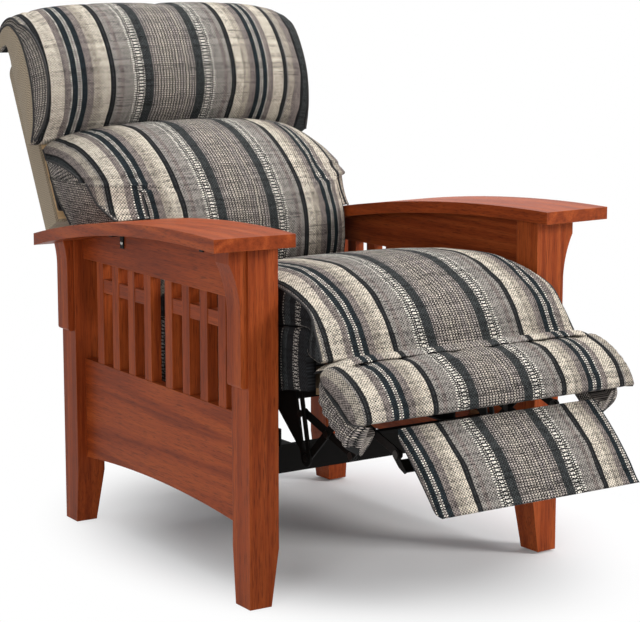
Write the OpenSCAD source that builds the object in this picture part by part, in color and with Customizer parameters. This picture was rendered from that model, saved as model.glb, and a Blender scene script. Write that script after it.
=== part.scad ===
// Reclining armchair with slatted wooden side frames, shown half way through its travel.
// +X is to the sitter's left, -Y is forward, +Z is up. Lengths are in millimetres.

/* [Side frames] */
// Width of a post, which is square
post_w = 57; // [45:1:70]
// Width over the outer faces of the front posts
front_w = 670; // [620:1:720]
// Distance from the front of the front post to the back of the rear post
frame_depth = 714; // [680:1:760]
// Inward splay of each side frame towards the rear, in degrees
frame_splay = 1.36; // [0:0.1:2]
// Height of the taper at the foot of each leg
taper_h = 100; // [60:1:125]
// Depth of a leg at the floor, front to back
foot_depth = 48; // [36:1:54]
// Width of a leg at the floor, side to side
foot_w = 42.5; // [32:0.5:54]
// Distance from the post's outer face to the rails and slats
panel_recess = 20; // [10:1:25]
// Thickness of the side rails
rail_t = 22; // [16:1:30]
// Height of the lower rail's ends above the feet
lower_rail_z = 130; // [110:1:150]
// Height of the lower rail's top edge above the feet
lower_rail_top = 325; // [290:1:350]
// Rise of the arch under the lower rail
rail_arch = 15; // [6:1:30]
// Height of the top rail's lower edge above the feet
top_rail_z = 520; // [490:1:530]
// Width of a slat
slat_w = 26; // [18:1:32]
// Thickness of a slat
slat_t = 20.5; // [14:0.5:21]
// Gap between slats in a group of four
slat_gap = 38; // [30:1:41]
// Gap between the two groups of slats
slat_mid_gap = 54; // [44:1:64]
// Height of the short cross bars' lower edge above the feet
bar_z = 464; // [440:1:480]
// Height of a cross bar
bar_h = 26; // [18:1:30]
// Height of a glide under a leg
glide_h = 4; // [2:0.5:8]
// Radius of a glide
glide_r = 9; // [6:0.5:14]

/* [Arms] */
// Width of an arm board
arm_w = 151; // [130:1:165]
// Thickness of an arm board
arm_t = 22.3; // [18:0.1:28]
// Height of the crest of the arm above the feet
arm_crest = 640; // [630:1:655]
// Distance from the front post's face back to the crest
arm_crest_y = 50; // [20:1:90]
// Radius of the arm's bow
arm_bow_r = 3125; // [2600:5:4000]
// Overhang of the arm in front of the post
arm_front = 30; // [10:1:50]
// Overhang of the arm behind the rear post
arm_rear = 6; // [0:1:30]
// Distance of the arm's outer edge from the chair's centre, at its front
arm_outer = 418; // [405:1:430]
// Angle by which each arm turns inward towards the rear, in degrees
arm_splay = 3.4; // [1.4:0.1:3.6]
// Width of a corbel
corbel_w = 45; // [34:1:52]
// Thickness of a corbel under the arm
corbel_t = 33; // [22:1:40]
// Thickness of a corbel's lower part
corbel_tail_t = 12; // [8:1:18]
// Height of a corbel's lower end above the feet
corbel_z = 380; // [350:1:420]
// Radius of a corbel's hollow curve
corbel_r = 190; // [150:1:240]

/* [Base] */
// Distance from the front posts' face to the front cross rail
cross_front_y = 125; // [118:1:140]
// Gap between the rear cross rail and the rear posts' front face
cross_rear_gap = 4; // [2:1:20]
// Thickness of a cross rail
cross_t = 18; // [15:1:22]
// Height of a cross rail's lower edge above the feet
cross_z = 192; // [175:1:200]
// Height of a cross rail
cross_h = 48; // [36:1:48]
// Length of a corner block's leg
block_leg = 55; // [35:1:65]
// Thickness of the steel plate used for rails, links and brackets
plate_t = 3; // [2:0.1:3.2]
// Gap between neighbouring steel plates
plate_gap = 1.5; // [1:0.1:2]
// Distance from the centre to the inner face of the seat's steel side plates
plate_x = 200; // [190:1:201]
// Height of a base rail's upright flange
base_flange_h = 32; // [26:1:36]
// Width of a base rail's flat flange
base_flange_w = 28; // [20:1:40]

/* [Mechanism] */
// Radius of the hinge pins
pin_r = 4; // [3:0.1:5]
// Radial clearance between a pin and its hole
pin_clear = 0.05; // [0.02:0.01:0.1]
// Radius of a pin's head
head_r = 7; // [6:0.1:7.5]
// Half of a link bar's width
bar_r = 8; // [7:0.1:8.5]
// Distance from the front posts' face to the front swing link's lower pivot
swing_front_y = 215; // [205:1:225]
// Distance from the front posts' face to the rear swing link's lower pivot
swing_rear_y = 595; // [590:1:600]
// Height of the swing links' lower pivots above the feet
swing_z = 259; // [257:1:262]
// Length of the front swing link between pivots
swing_front_l = 75; // [72:1:78]
// Forward lean of the front swing link, in degrees
swing_front_lean = 10; // [6:1:12]
// Length of the rear swing link between pivots
swing_rear_l = 91; // [89:0.5:92]
// Forward lean of the rear swing link, in degrees
swing_rear_lean = 33.3; // [32:0.1:34]
// Distance from the front posts' face to the legrest linkage's fixed pivot
leg_y = 30; // [26:1:33]
// Height of the legrest linkage's fixed pivot above the feet
leg_z = 240; // [238:1:244]
// Upward slope of the legrest linkage towards the front, in degrees
leg_rise = 12.5; // [12:0.1:13]
// Length of a crossing legrest link between its end pivots
leg_link = 152; // [148:1:154]
// Half angle between the crossing links in the shown pose, in degrees
leg_half_angle = 30.5; // [30:0.1:31]
// Half angle between the crossing links with the legrest folded
leg_folded_angle = 60.2; // [58:0.1:61]
// Half angle between the crossing links with the legrest fully out
leg_open_angle = 7.5; // [7.4:0.1:9]
// Radius of the tube that joins the left and right legrest links
torque_tube_r = 8; // [6:0.1:9]

/* [Seat] */
// Distance from the front posts' face forward to the crease between seat and bolster
crease_y = 125; // [122:1:128]
// Height of that crease above the feet
crease_z = 437; // [435:1:439]
// Half width of the seat cushion at its front
seat_half = 268; // [262:1:270]
// Half width of the seat cushion at its rear
seat_half_rear = 240; // [230:1:246]
// Height of the seat cushion's crest above the feet
seat_crest = 564; // [555:1:570]
// Thickness of the seat frame's wooden rails
seat_rail_t = 25; // [18:1:28]
// Distance from the seat frame's rear end to the axis of the back's hinge pins
seat_frame_gap = 25; // [21:1:33]
// Height of the seat frame's front rail
seat_rail_h = 36; // [28:1:38]
// Distance from the front posts' face to the seat frame's rear rail
seat_rear_rail_y = 498; // [470:1:504]
// Half width of the upholstered seat box
seat_box_half = 245; // [240:1:250]
// Thickness of the upholstered panels on the seat's sides
seat_side_t = 12; // [8:1:16]
// Diameter of the wire of the seat springs
spring_wire = 4; // [3:0.1:5]

/* [Back] */
// Recline of the back from upright, in degrees
back_lean = 26.5; // [25:0.1:28]
// Distance from the front posts' face to the back's hinge
back_hinge_y = 600; // [596:1:602]
// Height of the back's hinge above the feet
back_hinge_z = 345; // [343:1:348]
// Distance from the hinge back to the rear surface of the back
back_behind = 98; // [96:1:104]
// Height of the back frame, measured along the back
back_h = 655; // [640:1:670]
// Height of the back frame's lower edge above the hinge, measured along the back
back_low = 58; // [50:1:66]
// Half width of the back above the arms
back_half = 300; // [290:1:310]
// Height along the back at which it widens above the arms
back_step = 284; // [278:1:310]
// Thickness of the back frame
back_frame_t = 46; // [36:1:48]
// Thickness of the upholstered skin on the back and its sides
back_skin = 6; // [4:0.5:8]
// Half width of the head cushion
head_half = 322; // [312:1:328]
// Half width of the lumbar cushion above the arms
lumbar_half = 296; // [286:1:300]
// Gap between the lumbar cushion and the arms, at the arms' rear ends
lumbar_gap = 8.5; // [7:0.5:18]
// How much wider the lumbar cushion is in front than behind, on each side between the arms
lumbar_flare = 7; // [3:1:9]
// Distance from the lumbar cushion's side in to the back's side, between the arms
back_inset = 6; // [2:1:12]

/* [Legrest] */
// Downward slope of the bolster in the shown pose, in degrees
bolster_slope = 31.3; // [30:0.1:32]
// Half width of the bolster
bolster_half = 280; // [272:1:284]
// Length of the bolster from the crease to its front edge
bolster_l = 152; // [148:1:154]
// Thickness of the bolster's and footrest's boards
board_t = 12; // [9:1:12]
// Downward slope of the footrest in the shown pose, in degrees
foot_slope = 45.5; // [44:0.1:47]
// Half width of the footrest cushion
foot_half = 206; // [203:1:212]
// Length of the footrest cushion
foot_l = 171; // [164:1:174]
// Distance from the footrest's hinge to the underside of its board
foot_stand = 4; // [3.5:0.1:5]

/* [Hidden] */
$fn = 48;

// Distance from the front posts' face to the origin, which is the middle of the chair's depth
origin_y = 310;
hole_r = pin_r + pin_clear;
seam = 0.1;
soft_gap = 0.4;
plane_a = plate_x - plate_gap - plate_t;
plane_b = plane_a - plate_gap - plate_t;
rear_post_y = frame_depth - post_w;
cross_rear_y = rear_post_y - cross_rear_gap - cross_t;
panel_y0 = post_w + seam;
panel_y1 = rear_post_y - seam;
panel_l = panel_y1 - panel_y0;
slat_mid_y = (panel_y0 + panel_y1) / 2;
slat_pitch = slat_w + slat_gap;
slat_starts = [for (g = [-1, 1], i = [0:3])
    g * (slat_mid_gap / 2 + i * slat_pitch + slat_w / 2) - slat_w / 2 + slat_mid_y];
arm_under = arm_bow_r - arm_t;
arm_len = arm_front + frame_depth + arm_rear;
arm_inner = arm_outer - arm_w * cos(arm_splay) - arm_len * sin(arm_splay);
lumbar_half_low = arm_inner - lumbar_gap;
back_half_low = lumbar_half_low - back_inset;
big = 2000;
swing_front_top = [
    swing_front_y - swing_front_l * sin(swing_front_lean),
    swing_z + swing_front_l * cos(swing_front_lean)
];
swing_rear_top = [
    swing_rear_y - swing_rear_l * sin(swing_rear_lean),
    swing_z - 1 + swing_rear_l * cos(swing_rear_lean)
];
// The rear link's top pin runs in a short slot, from slot_a to slot_b about its shown place
slot_a = [-0.4, -0.2];
slot_b = [6.2, 2];
slot_r = pin_r + 2.4;
leg_pivot = [leg_y, leg_z];
leg_dir = [-cos(leg_rise), sin(leg_rise)];
leg_up = [sin(leg_rise), cos(leg_rise)];
stage_l = leg_link * cos(leg_half_angle);
stage_h = leg_link * sin(leg_half_angle);
// Pivots of the crossing links: low row on the base line, high row one stage height above it
low_0 = leg_pivot;
low_1 = leg_pivot + stage_l * leg_dir;
low_2 = leg_pivot + 2 * stage_l * leg_dir;
high_0 = leg_pivot + stage_h * leg_up;
high_1 = high_0 + stage_l * leg_dir;
cross_1 = (low_0 + high_1) / 2;
cross_2 = (low_1 + high_1 + stage_l * leg_dir) / 2;
slot_low = leg_pivot + (leg_link * sin(leg_open_angle) - 3) * leg_up;
slot_high = leg_pivot + (leg_link * sin(leg_folded_angle) + 3) * leg_up;
seat_front_y = -88;
seat_rear_y = back_hinge_y - seat_frame_gap;
seat_front_z = 384;
seat_slope = 6.2;
back_hinge = [back_hinge_y, back_hinge_z];
bolster_hinge_drop = 14;
bolster_hinge = [-crease_y + 4, crease_z - bolster_hinge_drop];
hinge_x = [110, 170];
hinge_pin_r = 3;

// Placing and drawing helpers

// Moves a piece from post coordinates (y from the front posts' face, z from the feet) to the part's frame
module placed() {
    translate([0, -origin_y, glide_h]) children();
}

module both_sides() {
    children();
    mirror([1, 0, 0]) children();
}

module on_side(left) {
    if (left) mirror([1, 0, 0]) children();
    else children();
}

// A flat outline in (y, z), made a plate from x0 to x1
module plate_yz(x0, x1) {
    translate([x0, 0, 0]) rotate([90, 0, 90]) linear_extrude(x1 - x0) children();
}

// A flat outline in (x, z), made a solid from y0 to y1
module solid_xz(y0, y1) {
    translate([0, y1, 0]) rotate([90, 0, 0]) linear_extrude(y1 - y0) children();
}

// A bar outline from p to q with round ends, which stand a little proud of its sides
module bar_outline(p, q, r, proud = 0.15) {
    d = q - p;
    translate(p) rotate(atan2(d[1], d[0])) translate([0, proud - r]) square([norm(d), 2 * (r - proud)]);
    translate(p) circle(r);
    translate(q) circle(r);
}

module link_plate(x0, p, q, extra = []) {
    plate_yz(x0, x0 + plate_t) difference() {
        bar_outline(p, q, bar_r, 0.8);
        for (h = concat([p, q], extra)) translate(h) circle(hole_r);
    }
}

// A riveted pin along x with a head outside each of the outer plates
module pin_x(p, x0, x1) {
    translate([x0 - 0.4, p[0], p[1]]) rotate([0, 90, 0]) cylinder(r = pin_r, h = x1 - x0 + 0.8);
    for (x = [x0 - 1.6, x1 + 0.2])
        translate([x, p[0], p[1]]) rotate([0, 90, 0]) cylinder(r = head_r, h = 1.4);
}

// Smooth curve through control points, n samples (Catmull-Rom)
function curve_at(p, t) =
    let (m = len(p) - 1, i = min(floor(t * m), m - 1), u = t * m - i,
         a = p[max(i - 1, 0)], b = p[i], c = p[i + 1], d = p[min(i + 2, m)])
    0.5 * (2 * b + (c - a) * u + (2 * a - 5 * b + 4 * c - d) * u * u + (3 * b - a - 3 * c + d) * u * u * u);
function curve(p, n) = [for (k = [0:n - 1]) curve_at(p, k / (n - 1))];

function total(v, i = 0) = i < len(v) ? v[i] + total(v, i + 1) : 0;

// Crowned cushion. top and bottom are curves of (y, z) with equal counts, half is the half width
// along them, edge is the share of the thickness left at the ends (one value, or one for each point)
// and pull draws the sides in. With lean = 1 the bottom stays flat and only the top is drawn down to it,
// and narrow is how much less wide the bottom is on each side.
module cushion_form(top, bottom, half, edge, pull, lean = 0.5, narrow = 0, stations = 12, power = 2.6) {
    n = len(top);
    ring = concat(top, [for (i = [n - 1:-1:0]) bottom[i]]);
    m = 2 * n;
    function pair(i) = i < n ? i : m - 1 - i;
    function edge_at(i) = is_list(edge) ? edge[pair(i)] : edge;
    function share(s, i) = edge_at(i) + (1 - edge_at(i)) * pow(1 - pow(abs(s), power), 1 / power);
    function width_at(i) = half[pair(i)] * (1 - pull * sin(180 * pair(i) / (n - 1))) - (i < n ? 0 : narrow);
    points = [for (k = [0:stations])
        let (s = sin(90 * (2 * k / stations - 1)))
        for (i = [0:m - 1])
            let (c = top[pair(i)] * (1 - lean) + bottom[pair(i)] * lean, q = c + (ring[i] - c) * share(s, i))
            [s * width_at(i), q[0], q[1]]];
    walls = [for (k = [0:stations - 1], i = [0:m - 1])
        let (a = k * m + i, b = k * m + (i + 1) % m)
        each [[a, a + m, b], [b, a + m, b + m]]];
    caps = [for (i = [0:n - 2])
        let (j = m - 1 - i, e = stations * m)
        each [[i, i + 1, j], [i + 1, j - 1, j], [e + i, e + j, e + i + 1], [e + i + 1, e + j, e + j - 1]]];
    turn = [for (i = [0:m - 1]) let (j = (i + 1) % m) ring[i][0] * ring[j][1] - ring[j][0] * ring[i][1]];
    faces = concat(walls, caps);
    polyhedron(points, total(turn) > 0 ? faces : [for (f = faces) [f[2], f[1], f[0]]]);
}

// Side frames

// Frame coordinates: x = 0 is the posts' outer face and the frame lies at negative x
module frame_space(left) {
    on_side(left) translate([front_w / 2, 0, 0]) rotate([0, 0, frame_splay]) children();
}

// Arm coordinates: x = 0 is the arm's outer edge and y = 0 its front end
module arm_space(left) {
    on_side(left) translate([arm_outer, -arm_front, 0]) rotate([0, 0, arm_splay]) children();
}

// Everything below the arm's underside
module below_arm(left) {
    arm_space(left) translate([-big / 2, arm_front + arm_crest_y, arm_crest - arm_bow_r])
        rotate([0, 90, 0]) cylinder(r = arm_under - seam, h = big, $fn = 360);
}

module post(left, y0, taper_sign) {
    y_in = taper_sign > 0 ? foot_depth : post_w - foot_depth;
    color("sienna") placed() intersection() {
        below_arm(left);
        frame_space(left) translate([-post_w, y0, 0]) intersection() {
            plate_yz(0, post_w) polygon([
                [taper_sign > 0 ? 0 : y_in, 0], [taper_sign > 0 ? y_in : post_w, 0],
                [post_w, taper_sign > 0 ? taper_h : 0], [post_w, arm_crest],
                [0, arm_crest], [0, taper_sign > 0 ? 0 : taper_h]
            ]);
            solid_xz(0, post_w) polygon([
                [post_w - foot_w, 0], [post_w, 0], [post_w, arm_crest], [0, arm_crest], [0, taper_h]
            ]);
        }
    }
}
module front_post_left() { post(true, 0, 1); }
module front_post_right() { post(false, 0, 1); }
module rear_post_left() { post(true, rear_post_y, -1); }
module rear_post_right() { post(false, rear_post_y, -1); }

module arm(left) {
    color("peru") placed() arm_space(left)
        plate_yz(-arm_w, 0) intersection() {
            difference() {
                translate([arm_front + arm_crest_y, arm_crest - arm_bow_r]) circle(arm_bow_r, $fn = 360);
                translate([arm_front + arm_crest_y, arm_crest - arm_bow_r]) circle(arm_under, $fn = 360);
            }
            translate([0, arm_crest / 2]) square([arm_len, arm_crest]);
        }
}
module arm_left() { arm(true); }
module arm_right() { arm(false); }

module corbel(left, y0) {
    z_hollow = arm_crest - corbel_r * 0.72;
    intersection() {
        below_arm(left);
        frame_space(left) solid_xz(y0 + (post_w - corbel_w) / 2, y0 + (post_w + corbel_w) / 2) difference() {
            translate([seam, corbel_z]) square([corbel_t, arm_crest - corbel_z]);
            translate([corbel_tail_t, corbel_z - 1]) square([corbel_t, z_hollow - corbel_z + 1]);
            translate([corbel_tail_t + corbel_r, z_hollow]) circle(corbel_r, $fn = 120);
            translate([corbel_tail_t, corbel_z]) difference() {
                translate([-corbel_tail_t / 2, -1]) square([corbel_tail_t, corbel_tail_t / 2 + 1]);
                translate([-corbel_tail_t / 2, corbel_tail_t / 2]) circle(corbel_tail_t / 2);
            }
        }
    }
}
module front_corbels() { color("peru") placed() for (left = [true, false]) corbel(left, 0); }
module rear_corbels() { color("peru") placed() for (left = [true, false]) corbel(left, rear_post_y); }

module panel(left, y0, y1, t) {
    frame_space(left) translate([-panel_recess, 0, 0]) plate_yz(-t, 0) children();
}

module top_rail(left) {
    color("peru") placed() intersection() {
        below_arm(left);
        panel(left, panel_y0, panel_y1, rail_t)
            translate([panel_y0, top_rail_z]) square([panel_l, arm_crest - top_rail_z]);
    }
}
module top_rail_left() { top_rail(true); }
module top_rail_right() { top_rail(false); }

module lower_rail(left) {
    half = panel_l / 2 - 6;
    arch_r = (pow(half, 2) + pow(rail_arch, 2)) / (2 * rail_arch);
    color("sienna") placed() panel(left, panel_y0, panel_y1, rail_t) difference() {
        translate([panel_y0, lower_rail_z]) square([panel_l, lower_rail_top - lower_rail_z]);
        translate([slat_mid_y, lower_rail_z + rail_arch - arch_r]) circle(arch_r, $fn = 360);
    }
}
module lower_rail_left() { lower_rail(true); }
module lower_rail_right() { lower_rail(false); }

slat_in = (rail_t - slat_t) / 2;
module slats(left) {
    color("peru") placed() translate([0, 0, lower_rail_top + seam])
        frame_space(left) for (y = slat_starts)
            translate([-panel_recess - slat_in - slat_t, y, 0])
                cube([slat_t, slat_w, top_rail_z - lower_rail_top - 2 * seam]);
}
module slats_left() { slats(true); }
module slats_right() { slats(false); }

module cross_bars(left) {
    color("peru") placed() frame_space(left)
        for (g = [0:1], i = [0:2]) {
            a = slat_starts[g * 4 + i];
            b = slat_starts[g * 4 + i + 1];
            translate([-panel_recess - slat_in - slat_t + 1, min(a, b) + slat_w + seam, bar_z])
                cube([slat_t - 2, abs(b - a) - slat_w - 2 * seam, bar_h]);
        }
}
module cross_bars_left() { cross_bars(true); }
module cross_bars_right() { cross_bars(false); }

bracket_y = [190, 490];
bracket_leg = 26;
bracket_w = 13;
function arm_under_z(y) = arm_crest - arm_bow_r + sqrt(pow(arm_under, 2) - pow(y - arm_crest_y, 2));

// Angle brackets that tie each arm to its top rail, on the rail's outer face
module arm_brackets() {
    color("black") placed() for (left = [true, false], y = bracket_y)
        frame_space(left) translate([-panel_recess + seam, y - bracket_w / 2, arm_under_z(y) - 2])
            difference() {
                union() {
                    translate([0, 0, -bracket_leg]) cube([2.4, bracket_w, bracket_leg]);
                    translate([0, 0, -2.4]) cube([bracket_leg, bracket_w, 2.4]);
                }
                translate([-1, bracket_w / 2, -bracket_leg * 0.6]) rotate([0, 90, 0]) cylinder(r = 2.2, h = 5);
            }
}

module arm_bracket_screws() {
    color("dimgray") placed() for (left = [true, false], y = bracket_y)
        frame_space(left) translate([-panel_recess + seam + 2.5, y, arm_under_z(y) - 2 - bracket_leg * 0.6])
            rotate([0, 90, 0]) cylinder(r1 = 4, r2 = 2.4, h = 1.8, $fn = 24);
}

module leg_glides() {
    color("black") placed() for (left = [true, false]) frame_space(left)
        for (y = [foot_depth / 2, frame_depth - foot_depth / 2])
            translate([-foot_w / 2, y, -glide_h]) cylinder(r = glide_r, h = glide_h - 0.05);
}

// Base between the side frames

// Half width between the side frames' rails at a depth y
function inside_half(y) = (front_w / 2 - panel_recess / cos(frame_splay) - rail_t / cos(frame_splay))
    - y * tan(frame_splay) - seam;

module cross_rail(y) {
    color("black") placed() translate([0, 0, cross_z]) linear_extrude(cross_h)
        polygon([
            [-inside_half(y), y], [inside_half(y), y],
            [inside_half(y + cross_t), y + cross_t], [-inside_half(y + cross_t), y + cross_t]
        ]);
}
module front_cross_rail() { cross_rail(cross_front_y); }
module rear_cross_rail() { cross_rail(cross_rear_y); }

module base_corner_blocks() {
    color("burlywood") placed() both_sides() {
        for (side = [0, 1]) {
            y = side == 0 ? cross_front_y + cross_t + seam : cross_rear_y - seam;
            s = side == 0 ? 1 : -1;
            translate([0, 0, cross_z + 4]) linear_extrude(cross_h - 8) polygon([
                [inside_half(y), y], [inside_half(y + s * block_leg), y + s * block_leg],
                [inside_half(y) - block_leg, y]
            ]);
        }
    }
}

module base_rail(left) {
    x1 = plane_b + plate_t;
    y0 = cross_front_y;
    y1 = cross_rear_y + cross_t;
    color("black") placed() on_side(left) {
        translate([x1 - base_flange_w, y0, cross_z + cross_h + 0.05]) cube([base_flange_w, y1 - y0, plate_t]);
        plate_yz(plane_b, x1) difference() {
            translate([y0, cross_z + cross_h + 0.05]) square([y1 - y0, base_flange_h]);
            translate([swing_front_y, swing_z]) circle(hole_r);
            translate([swing_rear_y, swing_z - 1]) circle(hole_r);
        }
    }
}
module base_rail_left() { base_rail(true); }
module base_rail_right() { base_rail(false); }

module base_pins() {
    color("silver") placed() both_sides()
        for (p = [[swing_front_y, swing_z], [swing_rear_y, swing_z - 1]])
            pin_x(p, plane_b, plane_a + plate_t);
}

module front_swing_links() {
    color("dimgray") placed() both_sides()
        link_plate(plane_a, [swing_front_y, swing_z], swing_front_top);
}

module rear_swing_links() {
    color("dimgray") placed() both_sides()
        link_plate(plane_a, [swing_rear_y, swing_z - 1], swing_rear_top);
}

module rear_slot_pins() {
    color("silver") placed() both_sides()
        pin_x(swing_rear_top, plane_a, plate_x + plate_t);
}

// Seat

module seat_plate(left) {
    color("dimgray") placed() on_side(left) plate_yz(plate_x, plate_x + plate_t) difference() {
        union() {
            bar_outline(leg_pivot, slot_high, 15);
            polygon([
                leg_pivot + [12, 7], [130, 322], [swing_front_top[0], 318], [swing_rear_top[0], 318],
                [back_hinge_y + 16, back_hinge_z - 10], [back_hinge_y + 16, back_hinge_z + 8],
                [back_hinge_y - 30, back_hinge_z + 14], [seat_rear_rail_y + 24, seat_top_z(seat_rear_rail_y + 24) + 2],
                [200, 364], [70, 384], slot_high + [0, 10]
            ]);
            translate(swing_front_top) circle(16);
            translate(swing_rear_top) circle(18);
            translate(back_hinge) circle(16);
        }
        translate(leg_pivot) circle(hole_r);
        translate(swing_front_top) circle(hole_r);
        translate(back_hinge) circle(hole_r);
        bar_outline(slot_low, slot_high, pin_r + 0.6);
        bar_outline(swing_rear_top + slot_a, swing_rear_top + slot_b, slot_r);
        translate([150, 345]) circle(10);
        translate([360, 340]) circle(12);
    }
}
module seat_plate_left() { seat_plate(true); }
module seat_plate_right() { seat_plate(false); }

module seat_pins() {
    color("silver") placed() both_sides() {
        pin_x(swing_front_top, plane_a, plate_x + plate_t);
        pin_x(leg_pivot, plane_a, plate_x + plate_t);
        pin_x(back_hinge, plane_a, plate_x + plate_t);
    }
}

// Height of the seat frame's upper edge at a depth y
function seat_top_z(y) = seat_front_z + seat_rail_h - (y - seat_front_y) * tan(seat_slope);

module seat_frame() {
    x0 = plate_x + plate_t + 0.05;
    x1 = x0 + seat_rail_t;
    color("tan") placed() {
        both_sides() difference() {
            plate_yz(x0, x1) polygon([
                [seat_front_y, seat_front_z], [seat_front_y, seat_top_z(seat_front_y)],
                [seat_rear_y, seat_top_z(seat_rear_y)],
                [seat_rear_y, seat_top_z(seat_rear_y) - seat_rail_h + 8], [40, 366]
            ]);
            plate_yz(x0 - 1, x0 + 2.5)
                bar_outline(swing_rear_top + slot_a, swing_rear_top + slot_b, head_r + 2.5);
            plate_yz(x0 - 1, x0 + 2.5) bar_outline(slot_low, slot_high, head_r + 2);
        }
        translate([0, 0, seat_front_z]) plate_yz(-x0, x0)
            translate([seat_front_y, 0]) square([20, seat_rail_h - 4]);
        plate_yz(-plate_x + seam, plate_x - seam)
            translate([seat_rear_rail_y, seat_top_z(seat_rear_rail_y + 20) - 24]) square([20, 24]);
    }
}

module seat_corner_blocks() {
    x0 = plate_x + plate_t;
    leg = 45;
    color("burlywood") placed() both_sides()
        translate([x0, seat_front_y + 20.05, seat_front_z + 6]) linear_extrude(22)
            polygon([[0, 0], [0, leg], [-leg, 0]]);
}

spring_x = [-150, -75, 0, 75, 150];
spring_pitch = 52;
spring_half = 20;

// Zigzag wire springs from the front rail to the rear rail, on the frame's slope
module seat_springs() {
    w = spring_wire;
    y0 = seat_front_y + 10;
    run = seat_rear_rail_y + 14 - y0;
    loops = floor(run / spring_pitch);
    step = run / loops / cos(seat_slope);
    color("silver") placed() for (x = spring_x)
        translate([x, y0, seat_top_z(y0) + 0.1]) rotate([-seat_slope, 0, 0]) linear_extrude(w)
            for (i = [0:loops - 1]) translate([0, i * step]) {
                translate([-spring_half, 0]) square([2 * spring_half, w]);
                translate([-spring_half, step / 2]) square([2 * spring_half, w]);
                translate([spring_half - w, 0]) square([w, step / 2 + w]);
                translate([-spring_half, step / 2]) square([w, step / 2 + w]);
            }
}

// Seat box and cushion share the line on which the cushion lies
box_front = [-60, 484];
box_rear = [500, 424];

module seat_box() {
    inset = 6;
    color("darkslategray") placed() plate_yz(-seat_box_half, seat_box_half) polygon([
        [box_front[0], seat_top_z(box_front[0]) + spring_wire + 1], box_front + [0, -inset],
        box_front + [inset, 0], box_rear, [box_rear[0] + 6, seat_top_z(box_rear[0]) + spring_wire + 1]
    ]);
}

module seat_side_panels() {
    color("darkslategray") placed() both_sides()
        plate_yz(seat_box_half + 0.05, seat_box_half + seat_side_t) polygon([
            [box_front[0] - 4, 379], [0, 371], [120, 345], [213, 320], [box_rear[0] + 30, 300],
            [box_rear[0] + 30, 380], box_rear, box_front + [6, 0], [box_front[0] - 4, 476]
        ]);
}

seat_top = curve([
    [-crease_y + 4, crease_z + 2], [-100, 484], [-60, 522], [0, seat_crest - 10], [70, seat_crest],
    [200, seat_crest - 12], [340, seat_crest - 42], [430, 490], [488, 452]
], 20);
seat_under = curve([
    [-crease_y + 9, crease_z - 3], [-66, 446], [-61, 484.5], [60, 471.8], [170, 460],
    [300, 446], [400, 435.2], [470, 427.8], [484, 432]
], 20);
module seat_cushion() {
    half = [for (i = [0:19]) seat_half + (seat_half_rear - seat_half) * i / 19];
    color("gray") placed() cushion_form(seat_top, seat_under, half, 0.55, 0.02);
}

// Bolster, which hinges on the seat frame's front rail

module bolster_space() {
    placed() translate([0, bolster_hinge[0], bolster_hinge[1]]) rotate([bolster_slope, 0, 0])
        children();
}

module bolster_hinge_leaves() {
    color("dimgray") placed() both_sides() for (x = hinge_x)
        plate_yz(x - 9, x + 9) difference() {
            union() {
                translate([bolster_hinge[0], bolster_hinge[1] - 1.5]) square([seat_front_y - 0.1 - bolster_hinge[0], 3]);
                translate([seat_front_y - 3.1, seat_front_z]) square([3, bolster_hinge[1] + 1.5 - seat_front_z]);
                translate(bolster_hinge) circle(6);
            }
            translate(bolster_hinge) circle(hinge_pin_r + pin_clear);
        }
}

module bolster_hinge_pins() {
    color("silver") placed() both_sides() for (x = hinge_x)
        translate([x - 24, bolster_hinge[0], bolster_hinge[1]]) rotate([0, 90, 0])
            cylinder(r = hinge_pin_r, h = 48);
}

// The board's upper face lies this far below the hinge, and its rear edge this far in front of it
board_drop = 14;
board_back = 12;
board_front = bolster_l - 48;
module bolster_board() {
    color("burlywood") bolster_space()
        translate([-bolster_half + 14, -board_front, -board_drop - board_t])
            cube([2 * bolster_half - 28, board_front - board_back, board_t]);
}

module bolster_hinge_straps() {
    color("dimgray") bolster_space() both_sides() for (x = hinge_x, s = [-1, 1])
        plate_yz(x + s * 17 - 6, x + s * 17 + 6) difference() {
            union() {
                circle(6);
                rotate(-155) translate([0, -2]) square([13, 4]);
                translate([-board_back - 40, -board_drop + 0.05]) square([44, 3]);
                translate([-board_back + 2, -board_drop + 0.05]) square([6, board_drop - 4]);
            }
            circle(hinge_pin_r + pin_clear);
        }
}

skirt_in = plate_x + plate_t + seat_rail_t + 2.5;
module bolster_skirts() {
    color("gray") bolster_space() both_sides()
        plate_yz(skirt_in, bolster_half - 12) polygon(concat(
            [[-board_front - 2, -board_drop - board_t - 0.05], [-board_back + 4, -board_drop - board_t - 0.05]],
            curve([[-8, -31], [-34, -52], [-93, -66], [-bolster_l + 18, -68]], 10),
            [[-bolster_l + 21, -30], [-bolster_l + 22, -2.5], [-bolster_l + 32, -8], [-bolster_l + 42, -12.5],
             [-board_front - 2, -13.5]]
        ));
}

bolster_top = curve([
    [-8, 9], [-20, 38], [-50, 53], [-88, 57], [-120, 52], [-bolster_l + 11, 37], [-bolster_l + 3, 21]
], 16);
bolster_under = curve([
    [-13, 0], [-24, -7], [-52, -board_drop + 4], [-84, -board_drop + 4], [-108, -board_drop + 4.5],
    [-bolster_l + 24, 0], [-bolster_l + 6, 15]
], 16);
module front_bolster() {
    half = [for (i = [0:15]) bolster_half + 4 * i / 15];
    color("gray") bolster_space() cushion_form(bolster_top, bolster_under, half, 0.74, 0.0, 1);
}

// Back

// Back coordinates: origin at the hinge, +Z up along the back and +Y to its rear surface
module back_space() {
    placed() translate([0, back_hinge_y, back_hinge_z]) rotate([-back_lean, 0, 0]) children();
}

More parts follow.
